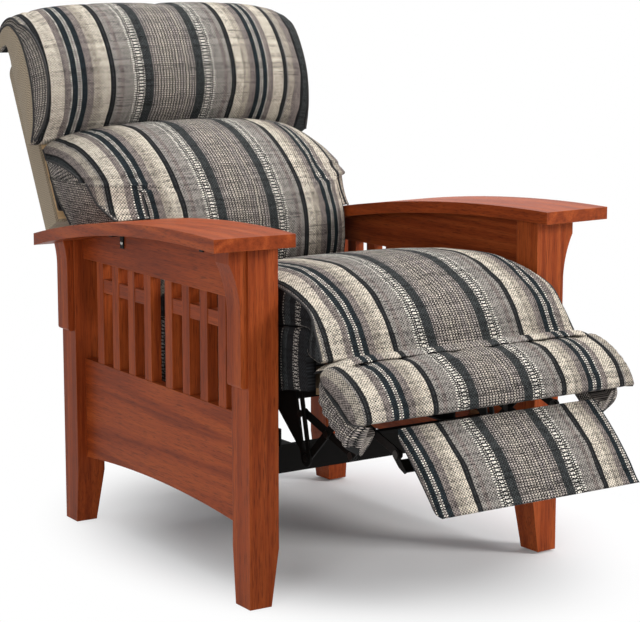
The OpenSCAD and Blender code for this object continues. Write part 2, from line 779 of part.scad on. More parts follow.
module back_outline(inset) {
    w = back_half - inset;
    lo = back_half_low - inset;
    r = 40;
    translate([-lo, back_low + inset]) square([2 * lo, back_step - back_low + 10]);
    translate([-w, back_step + inset]) square([2 * w, back_h - back_step - r - 2 * inset]);
    translate([-w + r, back_step + inset]) square([2 * (w - r), back_h - back_step - 2 * inset]);
    for (s = [-1, 1]) translate([s * (w - r), back_h - inset - r]) circle(r);
}

module outer_back() {
    color("tan") back_space() {
        translate([0, back_behind, 0]) rotate([90, 0, 0]) linear_extrude(back_skin) back_outline(0);
        translate([0, back_behind - back_skin + 0.01, 0]) rotate([90, 0, 0])
            linear_extrude(back_frame_t) difference() {
                back_outline(0);
                back_outline(back_skin);
            }
    }
}

rail_w = 60;
stile_w = 44;
lower_window_h = 150;
module back_frame() {
    window_w = back_half_low - rail_w - stile_w / 2;
    upper_z = back_low + lower_window_h + 2 * rail_w;
    color("burlywood") back_space()
        translate([0, back_behind - back_skin - 0.1, 0]) rotate([90, 0, 0])
            linear_extrude(back_frame_t) difference() {
                back_outline(back_skin + 0.1);
                for (s = [0, 1]) mirror([s, 0]) translate([stile_w / 2, 0]) {
                    translate([0, back_low + rail_w]) square([window_w, lower_window_h]);
                    translate([0, upper_z]) square([window_w, back_h - upper_z - rail_w]);
                }
            }
}

back_front = back_behind - back_skin - back_frame_t;
module back_brackets() {
    z1 = back_low - 0.3;
    tab = 36;
    color("dimgray") back_space() both_sides() {
        plate_yz(plane_a, plane_a + plate_t) difference() {
            union() {
                circle(15);
                polygon([[-11, 10], [back_front + 2, z1], [back_behind - 8, z1], [back_behind - 8, z1 - 12], [12, -9]]);
            }
            circle(hole_r);
        }
        translate([plane_a - tab, back_front + 4, z1 - plate_t])
            cube([tab + plate_t, back_frame_t - 10, plate_t]);
    }
}

// Cushion profiles run from bottom to top as (y, z) in back coordinates
lumbar_rear = curve([
    [back_front - soft_gap, back_low + 4], [back_front - soft_gap, 190], [back_front - soft_gap, 304],
    [back_front - soft_gap, 346], [back_front - soft_gap, 376], [back_front - soft_gap, 406],
    [back_front - 2, 432]
], 18);
lumbar_front = curve([
    [4, back_low - 2], [-136, 88], [-192, 146], [-204, 218], [-184, 300], [-140, 380], [-84, 438], [-30, 458]
], 18);
module lumbar_cushion() {
    function blend(t) = t < 0.47 ? 0 : t > 0.6 ? 1 : (t - 0.47) / 0.13;
    low = lumbar_half_low + lumbar_flare;
    half = [for (i = [0:17]) low + (lumbar_half - low) * blend(i / 17)];
    edge = [for (i = [0:17]) max(0.08, min(0.68, 0.68 - (i / 17 - 0.5) * 1.75))];
    color("gray") back_space() cushion_form(lumbar_front, lumbar_rear, half, edge, 0.0, 1, lumbar_flare);
}

head_rear = curve([
    [back_front - 1, 446], [back_front - soft_gap, 520], [back_front - soft_gap, 600],
    [back_front - 3, back_h - 14], [back_front + 2, back_h + 9], [back_behind - 14, back_h + 9]
], 16);
head_front = curve([
    [10, 447], [-52, 470], [-94, 530], [-100, 600], [-78, 672], [-22, 728], [50, 728], [back_behind - 10, back_h + 12]
], 16);
module head_cushion() {
    half = [for (i = [0:15]) head_half];
    color("gray") back_space() cushion_form(head_front, head_rear, half, 0.48, 0.01, 1);
}

// Legrest links, two crossing pairs in line on each side

module lower_legrest_links() {
    color("dimgray") placed() both_sides() link_plate(plane_a, low_0, high_1, [cross_1]);
}

module torque_tube() {
    color("silver") placed() translate([-plane_b + 2.4, high_1[0], high_1[1]]) rotate([0, 90, 0])
        cylinder(r = torque_tube_r, h = 2 * (plane_b - 2.4));
}

module crossing_pins() {
    color("silver") placed() both_sides() for (p = [cross_1, high_1])
        pin_x(p, plane_b, plane_a + plate_t);
}

module upper_legrest_links() {
    color("dimgray") placed() both_sides() link_plate(plane_b, high_0, low_1, [cross_1]);
}

module upper_link_pins() {
    color("silver") placed() both_sides() {
        pin_x(high_0, plane_b, plate_x + plate_t);
        pin_x(low_1, plane_b, plane_a + plate_t);
    }
}

module outer_legrest_links() {
    color("dimgray") placed() both_sides() link_plate(plane_b, high_1, low_2, [cross_2]);
}

module outer_link_pins() {
    color("silver") placed() both_sides() for (p = [cross_2, low_2])
        pin_x(p, plane_b, plane_a + plate_t);
}

module short_legrest_links() {
    color("dimgray") placed() both_sides() link_plate(plane_a, low_1, cross_2);
}

// Footrest

module foot_space() {
    placed() translate([0, low_2[0], low_2[1]]) rotate([foot_slope, 0, 0]) children();
}

foot_rear = 22;
module footrest_brackets() {
    tab = 48;
    color("dimgray") foot_space() both_sides() {
        plate_yz(plane_a, plane_a + plate_t) difference() {
            union() {
                circle(9);
                polygon([[9, 0], [4, foot_stand - 0.1], [-36, foot_stand - 0.1], [-36, -2], [-20, -8], [0, -9]]);
            }
            circle(hole_r);
        }
        translate([plane_a - tab, -36, foot_stand - plate_t - 0.1]) cube([tab + plate_t, 24, plate_t]);
        translate([plane_a - tab, -108, foot_stand - plate_t - 0.1]) cube([16, 74, plate_t]);
    }
}

module footrest_board() {
    color("burlywood") foot_space()
        translate([-foot_half + 41, foot_rear - foot_l + 25, foot_stand])
            cube([2 * (foot_half - 41), foot_l - 40, board_t]);
}

pad_z = foot_stand + board_t + 0.9;
foot_top = curve([
    [foot_rear, pad_z + 29], [foot_rear - 8, pad_z + 36], [foot_rear - 38, pad_z + 43],
    [foot_rear - 84, pad_z + 45], [foot_rear - 130, pad_z + 42], [foot_rear - foot_l + 11, pad_z + 35],
    [foot_rear - foot_l, pad_z + 29]
], 14);
foot_under = curve([
    [foot_rear - 2, pad_z + 24], [foot_rear - 18, pad_z + 3], [foot_rear - 42, pad_z], [foot_rear - 84, pad_z],
    [foot_rear - 126, pad_z], [foot_rear - foot_l + 22, pad_z + 3], [foot_rear - foot_l + 3, pad_z + 24]
], 14);
module footrest_cushion() {
    half = [for (i = [0:13]) foot_half];
    color("gray") foot_space() cushion_form(foot_top, foot_under, half, 0.12, 0.0, 0.36);
}

front_post_left();
front_post_right();
rear_post_left();
rear_post_right();
arm_left();
arm_right();
front_corbels();
rear_corbels();
top_rail_left();
top_rail_right();
lower_rail_left();
lower_rail_right();
slats_left();
slats_right();
cross_bars_left();
cross_bars_right();
arm_brackets();
arm_bracket_screws();
leg_glides();
front_cross_rail();
rear_cross_rail();
base_corner_blocks();
base_rail_left();
base_rail_right();
base_pins();
front_swing_links();
rear_swing_links();
rear_slot_pins();
seat_plate_left();
seat_plate_right();
seat_pins();
seat_frame();
seat_corner_blocks();
seat_springs();
seat_box();
seat_side_panels();
seat_cushion();
bolster_hinge_leaves();
bolster_hinge_pins();
bolster_board();
bolster_hinge_straps();
bolster_skirts();
front_bolster();
back_frame();
outer_back();
back_brackets();
lumbar_cushion();
head_cushion();
lower_legrest_links();
torque_tube();
crossing_pins();
upper_legrest_links();
upper_link_pins();
outer_legrest_links();
outer_link_pins();
short_legrest_links();
footrest_brackets();
footrest_board();
footrest_cushion();
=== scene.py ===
import bmesh
import bpy
import math
import numpy as np
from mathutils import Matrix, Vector


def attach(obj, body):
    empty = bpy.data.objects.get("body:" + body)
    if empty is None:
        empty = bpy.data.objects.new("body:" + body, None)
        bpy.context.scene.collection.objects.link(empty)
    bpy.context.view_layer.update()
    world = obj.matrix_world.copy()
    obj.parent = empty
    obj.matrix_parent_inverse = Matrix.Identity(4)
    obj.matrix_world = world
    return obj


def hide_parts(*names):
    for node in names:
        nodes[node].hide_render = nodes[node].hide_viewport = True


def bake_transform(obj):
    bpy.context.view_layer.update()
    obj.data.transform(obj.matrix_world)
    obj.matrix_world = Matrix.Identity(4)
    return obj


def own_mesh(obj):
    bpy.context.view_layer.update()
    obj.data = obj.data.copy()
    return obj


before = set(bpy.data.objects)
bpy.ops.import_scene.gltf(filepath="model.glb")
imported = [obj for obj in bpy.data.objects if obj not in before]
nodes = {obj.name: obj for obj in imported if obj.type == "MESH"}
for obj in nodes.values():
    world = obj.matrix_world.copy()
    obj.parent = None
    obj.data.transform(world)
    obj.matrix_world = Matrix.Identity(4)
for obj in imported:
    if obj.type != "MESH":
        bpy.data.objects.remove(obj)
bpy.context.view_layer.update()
print("frame loaded")

# The side view's measures are in millimetres from the front posts' face and the feet
frameShift = {"y": 310.0, "z": 4.0}


# Side-view points (y, z) in mm become row-frame metres: y - shift, z + shift, at width x.
def rowPoints(yz, x=0.0):
    yz = np.asarray(yz, float)
    out = np.empty(yz.shape[:-1] + (3,))
    out[..., 0] = x
    out[..., 1] = (yz[..., 0] - frameShift["y"]) / 1000
    out[..., 2] = (yz[..., 1] + frameShift["z"]) / 1000
    return out


# Materials

def newMaterial(name):
    mat = bpy.data.materials.new(name)
    mat.use_nodes = True
    mat.node_tree.nodes.clear()
    return mat


# Short calls for a material's nodes.
class Graph:
    def __init__(self, mat):
        self.tree = mat.node_tree

    def add(self, kind, **fields):
        node = self.tree.nodes.new(kind)
        for key, value in fields.items():
            setattr(node, key, value)
        return node

    def link(self, a, b):
        self.tree.links.new(a, b)

    def value(self, socket, v):
        if isinstance(v, bpy.types.NodeSocket):
            self.link(v, socket)
        else:
            socket.default_value = v

    def math(self, op, a, b=0.0, c=0.0, clamp=False):
        node = self.add("ShaderNodeMath", operation=op, use_clamp=clamp)
        for socket, v in zip(node.inputs, (a, b, c)):
            self.value(socket, v)
        return node.outputs[0]

    def mix(self, fac, a, b, blend="MIX"):
        node = self.add("ShaderNodeMix", data_type="RGBA", blend_type=blend)
        self.value(node.inputs[0], fac)
        self.value(node.inputs[6], a)
        self.value(node.inputs[7], b)
        return node.outputs[2]

    def ramp(self, fac, stops, interpolation="LINEAR"):
        node = self.add("ShaderNodeValToRGB")
        ramp = node.color_ramp
        ramp.interpolation = interpolation
        while len(ramp.elements) > 1:
            ramp.elements.remove(ramp.elements[-1])
        ramp.elements[0].position = stops[0][0]
        ramp.elements[0].color = tuple(stops[0][1]) + (1.0,)
        for place, colour in stops[1:]:
            ramp.elements.new(place).color = tuple(colour) + (1.0,)
        self.value(node.inputs[0], fac)
        return node.outputs[0]

    def noise(self, vector, scale, detail=2.0, rough=0.5):
        node = self.add("ShaderNodeTexNoise")
        self.link(vector, node.inputs["Vector"])
        node.inputs["Scale"].default_value = scale
        node.inputs["Detail"].default_value = detail
        node.inputs["Roughness"].default_value = rough
        return node.outputs[0]

    def mapping(self, vector, place=(0, 0, 0), turn=(0, 0, 0), scale=(1, 1, 1)):
        node = self.add("ShaderNodeMapping")
        self.link(vector, node.inputs["Vector"])
        node.inputs["Location"].default_value = place
        node.inputs["Rotation"].default_value = turn
        node.inputs["Scale"].default_value = scale
        return node.outputs[0]

    def coordinates(self):
        return self.add("ShaderNodeTexCoord").outputs["Object"]

    def split(self, vector):
        node = self.add("ShaderNodeSeparateXYZ")
        self.link(vector, node.inputs[0])
        return node.outputs

    def times(self, a, b):
        return self.math("MULTIPLY", a, b)

    def over(self, a, limit):
        return self.math("GREATER_THAN", a, limit)

    def under(self, a, limit):
        return self.math("LESS_THAN", a, limit)

    def cells(self, a, pitch):
        return self.math("FRACT", self.math("DIVIDE", a, pitch))

    def random(self, vector, dimensions="1D"):
        node = self.add("ShaderNodeTexWhiteNoise", noise_dimensions=dimensions)
        self.link(vector, node.inputs["W" if dimensions == "1D" else "Vector"])
        return node.outputs[0]

    def bump(self, height, strength, distance, normal=None):
        node = self.add("ShaderNodeBump")
        node.inputs["Strength"].default_value = strength
        node.inputs["Distance"].default_value = distance
        self.link(height, node.inputs["Height"])
        if normal is not None:
            self.link(normal, node.inputs["Normal"])
        return node.outputs[0]

    def surface(self, colour, rough, normal=None, **fields):
        shader = self.add("ShaderNodeBsdfPrincipled")
        self.value(shader.inputs["Base Color"], colour)
        self.value(shader.inputs["Roughness"], rough)
        if normal is not None:
            self.link(normal, shader.inputs["Normal"])
        for key, v in fields.items():
            shader.inputs[key].default_value = v
        out = self.add("ShaderNodeOutputMaterial")
        self.link(shader.outputs[0], out.inputs["Surface"])


def rgba(colour, share=1.0):
    return tuple(c * share for c in colour) + (1.0,)


# Rounds the edges for the light: the rounded normal, and how far it turns away from the face (0 on flats).
def roundedEdge(g, radius, samples):
    bevel = g.add("ShaderNodeBevel", samples=samples)
    bevel.inputs["Radius"].default_value = radius
    dot = g.add("ShaderNodeVectorMath", operation="DOT_PRODUCT")
    g.link(bevel.outputs[0], dot.inputs[0])
    g.link(g.add("ShaderNodeNewGeometry").outputs["True Normal"], dot.inputs[1])
    return bevel.outputs[0], g.math("SUBTRACT", 1.0, dot.outputs["Value"])


woodLook = {
    "light": (0.38, 0.086, 0.020),
    "middle": (0.25, 0.045, 0.010),
    "dark": (0.125, 0.020, 0.005),
    "pore": (0.045, 0.009, 0.004),
    # the edge colour lightens rounded edges: partly wear, partly a painted highlight
    "edge": (0.42, 0.12, 0.030),
    "roughness": 0.34,
    "shine": 0.08,
    "edgeRadius": 0.0016,
    "paleEdge": 1.6,
    "ringCount": 44.0,
    "poreShare": 0.55,
}


# Stained oak. The grain runs along one object axis: rings are bands of a stretched noise, pores are short dark
# streaks along the grain.
def oak(name, grain, seed):
    mat = newMaterial(name)
    g = Graph(mat)
    turn = {"x": (0, math.pi / 2, 0), "y": (math.pi / 2, 0, 0), "z": (0, 0, 0)}[grain]
    local = g.mapping(g.coordinates(), place=(seed * 0.37, seed * 0.21, seed * 0.53), turn=turn)
    broad = g.noise(g.mapping(local, scale=(9, 9, 0.55)), 1.0, 2.0, 0.5)
    rings = g.math("SINE", g.times(broad, woodLook["ringCount"]))
    rings = g.math("MULTIPLY_ADD", rings, 0.5, 0.5)
    fine = g.noise(g.mapping(local, scale=(160, 160, 5)), 1.0, 3.0, 0.6)
    pores = g.noise(g.mapping(local, scale=(900, 900, 30)), 1.0, 2.0, 0.5)
    poreMask = g.ramp(pores, [(0.0, (1, 1, 1)), (0.36, (1, 1, 1)), (0.46, (0, 0, 0))])
    cloud = g.noise(g.mapping(local, scale=(3, 3, 1.2)), 1.0, 2.0, 0.5)
    tone = g.math("ADD", g.times(rings, 0.26), g.times(fine, 0.72))
    tone = g.math("ADD", tone, g.math("MULTIPLY_ADD", cloud, 0.5, -0.25))
    base = g.ramp(tone, [(0.12, woodLook["dark"]), (0.46, woodLook["middle"]), (0.86, woodLook["light"])])
    colour = g.mix(g.times(poreMask, woodLook["poreShare"]), base, rgba(woodLook["pore"]))
    rounded, turned = roundedEdge(g, woodLook["edgeRadius"], 6)
    # rounded edges lightened towards the edge colour: partly wear, partly a painted highlight
    paleEdge = g.math("MULTIPLY", turned, woodLook["paleEdge"], clamp=True)
    colour = g.mix(paleEdge, colour, rgba(woodLook["edge"]))
    height = g.math("SUBTRACT", g.times(fine, 0.25), g.times(poreMask, 0.8))
    normal = g.bump(height, 0.18, 0.0006, rounded)
    rough = g.math("MULTIPLY_ADD", fine, 0.16, woodLook["roughness"])
    g.surface(colour, rough, normal, **{"Specular IOR Level": woodLook["shine"]})
    return mat


steelLook = {"black": (0.0025, 0.0022, 0.002), "dust": (0.006, 0.0052, 0.0045), "edge": (0.05, 0.048, 0.045),
             "edgeRadius": 0.0007, "zinc": (0.46, 0.45, 0.42), "zincCloud": (0.30, 0.29, 0.27)}


# Black enamel with a little wear where plates turn an edge.
def blackSteel():
    mat = newMaterial("blackEnamelSteel")
    g = Graph(mat)
    dust = g.noise(g.coordinates(), 60.0, 3.0, 0.6)
    rounded, turned = roundedEdge(g, steelLook["edgeRadius"], 4)
    paleEdge = g.math("MULTIPLY", turned, g.times(dust, 3.0), clamp=True)
    colour = g.mix(g.times(dust, 0.5), rgba(steelLook["black"]), rgba(steelLook["dust"]))
    colour = g.mix(paleEdge, colour, rgba(steelLook["edge"]))
    g.surface(colour, g.math("MULTIPLY_ADD", dust, 0.3, 0.25), g.bump(dust, 0.1, 0.0004, rounded),
              **{"Metallic": 0.0, "Specular IOR Level": 0.08})
    return mat


# Zinc plate: a metal with cloudy roughness; deep below 1 is a blackened one.
def zincSteel(name="zincPlate", deep=1.0):
    mat = newMaterial(name)
    g = Graph(mat)
    cloud = g.noise(g.coordinates(), 180.0, 3.0, 0.6)
    colour = g.mix(cloud, rgba(steelLook["zinc"], deep), rgba(steelLook["zincCloud"], deep))
    g.surface(colour, g.math("MULTIPLY_ADD", cloud, 0.3, 0.22), g.bump(cloud, 0.08, 0.0003), **{"Metallic": 1.0})
    return mat


# Bare pine and plywood: pale, with long soft grain along X; deep below 1 is a darker stain.
def softwood(name="barePine", deep=1.0):
    mat = newMaterial(name)
    g = Graph(mat)
    local = g.mapping(g.coordinates(), turn=(0, math.pi / 2, 0))
    lines = g.noise(g.mapping(local, scale=(110, 110, 4)), 1.0, 3.0, 0.6)
    tones = ((0.3, (0.36, 0.22, 0.10)), (0.55, (0.58, 0.40, 0.21)), (0.75, (0.68, 0.50, 0.29)))
    colour = g.ramp(lines, [(place, rgba(tone, deep)[:3]) for place, tone in tones])
    g.surface(colour, 0.62, g.bump(lines, 0.15, 0.0005))
    return mat


# Hardwood rail painted black, the grain just telegraphing through.
def blackWood():
    mat = newMaterial("blackPaintedWood")
    g = Graph(mat)
    local = g.mapping(g.coordinates(), turn=(0, math.pi / 2, 0))
    lines = g.noise(g.mapping(local, scale=(150, 150, 5)), 1.0, 3.0, 0.6)
    colour = g.mix(lines, rgba((0.003, 0.0027, 0.0025)), rgba((0.007, 0.006, 0.005)))
    g.surface(colour, 0.5, g.bump(lines, 0.2, 0.0005), **{"Specular IOR Level": 0.08})
    return mat


# Cloth: stripes are set across the width, in millimetres from the middle of the chair; the weave is in metres
clothLook = {
    "cream": (0.36, 0.325, 0.275),
    "tan": (0.255, 0.228, 0.192),
    "taupe": (0.170, 0.158, 0.147),
    "mauve": (0.140, 0.120, 0.112),
    "navy": (0.008, 0.013, 0.016),
    "black": (0.008, 0.009, 0.010),
    "charcoal": (0.024, 0.027, 0.028),
    "white": (0.46, 0.44, 0.40),
}
weave = {
    "thread": 0.0028, "wander": 0.0024, "reach": 0.34, "column": 0.0062, "row": 0.0044, "dash": 0.34, "gutter": 0.36,
    "slant": 1.1, "inks": ((0.36, 0.325, 0.285), (0.25, 0.222, 0.212)), "ladder": 0.019, "rung": 0.0068,
    "rail": 0.0042, "dot": 0.0046,
}
stripeEdges = [
    (0.0, "zigzag"), (46, "charcoal"), (64, "ladder"), (83, "dots"), (88, "taupe"), (108, "mauve"), (116, "taupe"),
    (125, "black"), (129.5, "charcoal"), (131, "black"), (136, "cream"), (153, "tan"), (169, "mauve"), (183, "navy"),
    (193.5, "dots"), (196, "mauve"), (198.5, "dots"), (201, "navy"), (211.5, "dots"), (214, "mauve"), (226, "cream"),
    (253, "black"), (258, "charcoal"), (259.5, "black"), (264, "taupe"), (267, "tan"), (284, "mauve"), (305, "black"),
    (312, "charcoal"),
]
borderEdges = [
    (0.0, "black"), (25, "ladder"), (44, "black"), (60, "charcoal"), (78, "dots"), (81.5, "black"), (104, "charcoal"),
    (120, "black"), (132, "charcoal"), (140, "black"),
]


# One ramp over the distance gives each stripe's ground colour, a second one its figure: red chevrons, green ladder,
# blue dots.
def stripeRamps(g, across, edges):
    figure = {"zigzag": (1, 0, 0), "ladder": (0, 1, 0), "dots": (0, 0, 1)}
    fac = g.math("DIVIDE", across, weave["reach"])
    at = [(e / 1000 / weave["reach"], kind) for e, kind in edges]
    base = g.ramp(fac, [(e, clothLook["black"] if kind in figure else clothLook[kind]) for e, kind in at], "CONSTANT")
    masks = g.add("ShaderNodeSeparateColor")
    g.link(g.ramp(fac, [(e, figure.get(kind, (0, 0, 0))) for e, kind in at], "CONSTANT"), masks.inputs[0])
    return base, masks.outputs


# Narrow columns, each crossed by slanting dashes and of its own ink: where they are, and the ink.
def chevrons(g, u, v, mask):
    column = g.math("DIVIDE", u, weave["column"])
    inColumn = g.math("ABSOLUTE", g.math("SUBTRACT", g.math("FRACT", column), 0.5))
    dashes = g.math("FRACT", g.math("ADD", g.math("DIVIDE", v, weave["row"]), g.times(inColumn, weave["slant"])))
    ink = g.mix(g.random(g.math("FLOOR", column)), rgba(weave["inks"][0]), rgba(weave["inks"][1]))
    return g.times(g.times(g.over(dashes, weave["dash"]), g.under(inColumn, weave["gutter"])), mask), ink


# Pale squares up the middle of a stripe, between two rows of dots.
def ladder(g, across, v, mask, edges):
    first = next((e for e, kind in edges if kind == "ladder"), 64) / 1000
    inLadder = g.math("DIVIDE", g.math("SUBTRACT", across, first), weave["ladder"])
    centre = g.math("ABSOLUTE", g.math("SUBTRACT", inLadder, 0.5))
    square = g.times(g.over(g.cells(v, weave["rung"]), 0.42), g.under(centre, 0.22))
    rail = g.times(g.over(g.cells(v, weave["rail"]), 0.5), g.times(g.over(centre, 0.30), g.under(centre, 0.44)))
    return g.times(g.math("MAXIMUM", square, rail), mask)


# Woven stripes on the piece's own map: u is metres across the cloth, v metres along it. The stripes lie over |u|,
# or over u within a period. Yarns are cells of one thread's width whose tone alternates and varies.
# ink scales the white of the pale figures; below 1 it paints shade into them
def stripedCloth(name, edges, period=0.0, ink=1.0):
    mat = newMaterial(name)
    g = Graph(mat)
    uv = g.add("ShaderNodeUVMap", uv_map="cloth").outputs[0]
    acrossCloth, v = g.split(uv)[:2]
    wander = weave["wander"]
    u = g.math("ADD", acrossCloth, g.math("MULTIPLY_ADD", g.noise(uv, 11.0, 1.0, 0.5), wander, -wander / 2))
    across = g.math("FLOORED_MODULO", u, period) if period else g.math("ABSOLUTE", u)
    base, masks = stripeRamps(g, across, edges)
    chevronMask, chevronInk = chevrons(g, u, v, masks[0])
    dots = g.times(g.over(g.cells(v, weave["dot"]), 0.42), masks[2])
    pale = g.math("MAXIMUM", ladder(g, across, v, masks[1], edges), dots)
    colour = g.mix(pale, g.mix(chevronMask, base, chevronInk), rgba(clothLook["white"], ink))
    # each crossing has its own tone, warps and wefts alternate, and single yarns run darker or paler
    thread = weave["thread"]
    warp, weft = (g.math("FLOOR", g.math("DIVIDE", a, thread)) for a in (u, v))
    cell = g.add("ShaderNodeCombineXYZ")
    g.link(warp, cell.inputs[0])
    g.link(weft, cell.inputs[1])
    speck = g.random(cell.outputs[0], "2D")
    check = g.math("FLOORED_MODULO", g.math("ADD", warp, weft), 2.0)
    warpTone, weftTone = g.random(warp), g.random(g.math("ADD", weft, 0.37))
    slub = g.noise(g.mapping(uv, scale=(30, 300, 1)), 1.0, 2.0, 0.6)
    tone = g.math("ADD", g.times(speck, 0.34), g.times(check, 0.42))
    tone = g.math("ADD", tone, g.math("MULTIPLY_ADD", weftTone, 0.24, g.times(warpTone, 0.10)))
    tone = g.math("ADD", tone, g.times(slub, 0.30))
    shade = g.ramp(tone, [(0.26, (0.06, 0.065, 0.07)), (0.62, (0.70, 0.70, 0.70)), (1.0, (1.95, 1.93, 1.88))])
    colour = g.mix(1.0, colour, shade, "MULTIPLY")
    tint = g.noise(uv, 38.0, 2.0, 0.6)
    colour = g.mix(g.times(tint, 0.07), colour, g.mix(tint, rgba((0.20, 0.13, 0.10)), rgba((0.10, 0.13, 0.16))))
    yarns = [g.math("PINGPONG", g.math("DIVIDE", a, thread), 0.5) for a in (u, v)]
    height = g.math("ADD", g.math("ADD", *yarns), g.times(speck, 0.6))
    g.surface(colour, 0.92, g.bump(height, 0.6, 0.0008), **{"Specular IOR Level": 0.05})
    return mat


# Plain tan cloth on object coordinates: slanting dashes that turn back at each column.
def herringbone(name="tanHerringbone"):
    mat = newMaterial(name)
    g = Graph(mat)
    x, y, z = g.split(g.coordinates())
    sideways = g.math("ADD", x, g.times(y, 0.9))
    up = g.math("ADD", z, g.times(y, 0.35))
    slant = g.math("ABSOLUTE", g.math("SUBTRACT", g.cells(sideways, 0.009), 0.5))
    dash = g.math("FRACT", g.math("ADD", g.math("DIVIDE", up, 0.0044), g.times(slant, 2.2)))
    speck = g.noise(g.coordinates(), 900.0, 2.0, 0.6)
    tone = g.math("ADD", g.times(g.over(dash, 0.5), 0.55), g.times(speck, 0.6))
    colour = g.ramp(tone, [(0.15, (0.14, 0.105, 0.068)), (0.55, (0.27, 0.21, 0.145)), (0.95, (0.42, 0.35, 0.25))])
    g.surface(colour, 0.92, g.bump(tone, 0.5, 0.0006), **{"Specular IOR Level": 0.18, "Sheen Weight": 0.1})
    return mat


# Near-black cloth for seams and the underside.
def darkCloth(name, colour):
    mat = newMaterial(name)
    g = Graph(mat)
    speck = g.noise(g.coordinates(), 700.0, 2.0, 0.6)
    mixed = g.mix(speck, rgba(colour, 0.5), rgba(colour, 1.6))
    g.surface(mixed, 0.9, g.bump(speck, 0.4, 0.0005), **{"Specular IOR Level": 0.2})
    return mat


# The name and the grain's axis of each oak, in the order of their seeds
oakGrain = {
    "postLeft": ("oakPostLeft", "z"), "postRight": ("oakPostRight", "z"), "rearLeft": ("oakRearPostLeft", "z"),
    "rearRight": ("oakRearPostRight", "z"), "arm": ("oakArm", "y"), "armB": ("oakArmB", "y"),
    "rail": ("oakRail", "y"), "railB": ("oakRailB", "y"), "slat": ("oakSlat", "z"), "corbel": ("oakCorbel", "z"),
}
finish = {key: oak(name, grain, seed) for seed, (key, (name, grain)) in enumerate(oakGrain.items(), 1)}
finish.update({
    "steel": blackSteel(), "zinc": zincSteel(), "rivet": zincSteel("blackenedRivet", 0.12),
    "pine": softwood(), "stained": softwood("stainedPine", 0.10), "blackWood": blackWood(),
    "cloth": stripedCloth("stripedCloth", stripeEdges), "zigzag": stripedCloth("zigzagCloth", [(0.0, "zigzag")]),
    # the seat border's pale figures at half strength: painted shade under the seat cushion
    "border": stripedCloth("borderCloth", borderEdges, 0.150, 0.5),
    "tan": herringbone(), "cambric": darkCloth("blackCambric", (0.012, 0.012, 0.012)),
    "welt": darkCloth("weltCord", (0.035, 0.034, 0.034)),
})
nodeFinish = {
    "postLeft": ["front_post_left"], "postRight": ["front_post_right"], "rearLeft": ["rear_post_left"],
    "rearRight": ["rear_post_right"], "arm": ["arm_left"], "armB": ["arm_right"],
    "rail": ["top_rail_left", "lower_rail_right", "cross_bars_left"],
    "railB": ["top_rail_right", "lower_rail_left", "cross_bars_right"],
    "slat": ["slats_left", "slats_right"], "corbel": ["front_corbels", "rear_corbels"],
    "steel": ["arm_brackets", "leg_glides", "base_rail_left", "base_rail_right", "front_swing_links",
              "rear_swing_links", "seat_plate_left", "seat_plate_right", "bolster_hinge_leaves",
              "bolster_hinge_straps", "back_brackets", "lower_legrest_links", "upper_legrest_links",
              "outer_legrest_links", "short_legrest_links", "footrest_brackets", "torque_tube"],
    "zinc": ["arm_bracket_screws", "seat_springs", "bolster_hinge_pins"],
    "rivet": ["base_pins", "rear_slot_pins", "seat_pins", "crossing_pins", "upper_link_pins", "outer_link_pins"],
    "pine": ["base_corner_blocks", "seat_corner_blocks", "back_frame"],
    "stained": ["seat_frame"],
    "blackWood": ["front_cross_rail", "rear_cross_rail", "bolster_board", "footrest_board"],
    "tan": ["outer_back"],
}
for key, names in nodeFinish.items():
    for n in names:
        nodes[n].data.materials.clear()
        nodes[n].data.materials.append(finish[key])
print("materials made")


# Surfaces

# Running length along one axis of a point grid.
def lengthsAlong(points, axis):
    step = np.linalg.norm(np.diff(points, axis=axis), axis=-1)
    zero = np.zeros_like(np.take(step, [0], axis=axis))
    return np.concatenate([zero, np.cumsum(step, axis=axis)], axis=axis)


# Quads of a rows x cols grid whose points are numbered row by row.
def gridFaces(rows, cols):
    a = (np.arange(rows - 1)[:, None] * cols + np.arange(cols - 1)[None, :]).ravel()
    return np.stack([a + 1, a + cols + 1, a + cols, a], 1)


# Turns a closed mesh's faces outward.
def faceOut(mesh):
    bm = bmesh.new()
    bm.from_mesh(mesh)
    bmesh.ops.recalc_face_normals(bm, faces=bm.faces)
    bm.to_mesh(mesh)
    bm.free()


def inScene(name, mesh):
    obj = bpy.data.objects.new(name, mesh)
    bpy.context.scene.collection.objects.link(obj)
    return obj


# A mesh from whole arrays: points, faces, and the map position of every face corner.
def makeMesh(name, verts, faces, cornerUv, slots, faceSlot=None):
    mesh = bpy.data.meshes.new(name)
    mesh.from_pydata(verts.tolist(), [], faces)
    if cornerUv is not None:
        layer = mesh.uv_layers.new(name="cloth")
        layer.data.foreach_set("uv", np.asarray(cornerUv, np.float32).ravel())
    mesh.polygons.foreach_set("use_smooth", np.full(len(faces), True))
    for s in slots:
        mesh.materials.append(finish[s])
    if faceSlot is not None:
        mesh.polygons.foreach_set("material_index", np.asarray(faceSlot, np.int32))
    mesh.update()
    return mesh


# Quads between n closed rings of m points each, and the two caps.
def ringFaces(n, m):
    a, b = np.meshgrid(np.arange(n - 1), np.arange(m), indexing="ij")
    quads = np.stack([a * m + b, (a + 1) * m + b, (a + 1) * m + (b + 1) % m, a * m + (b + 1) % m], -1).reshape(-1, 4)
    return quads, [list(range(m)), list(range((n - 1) * m, n * m))[::-1]]


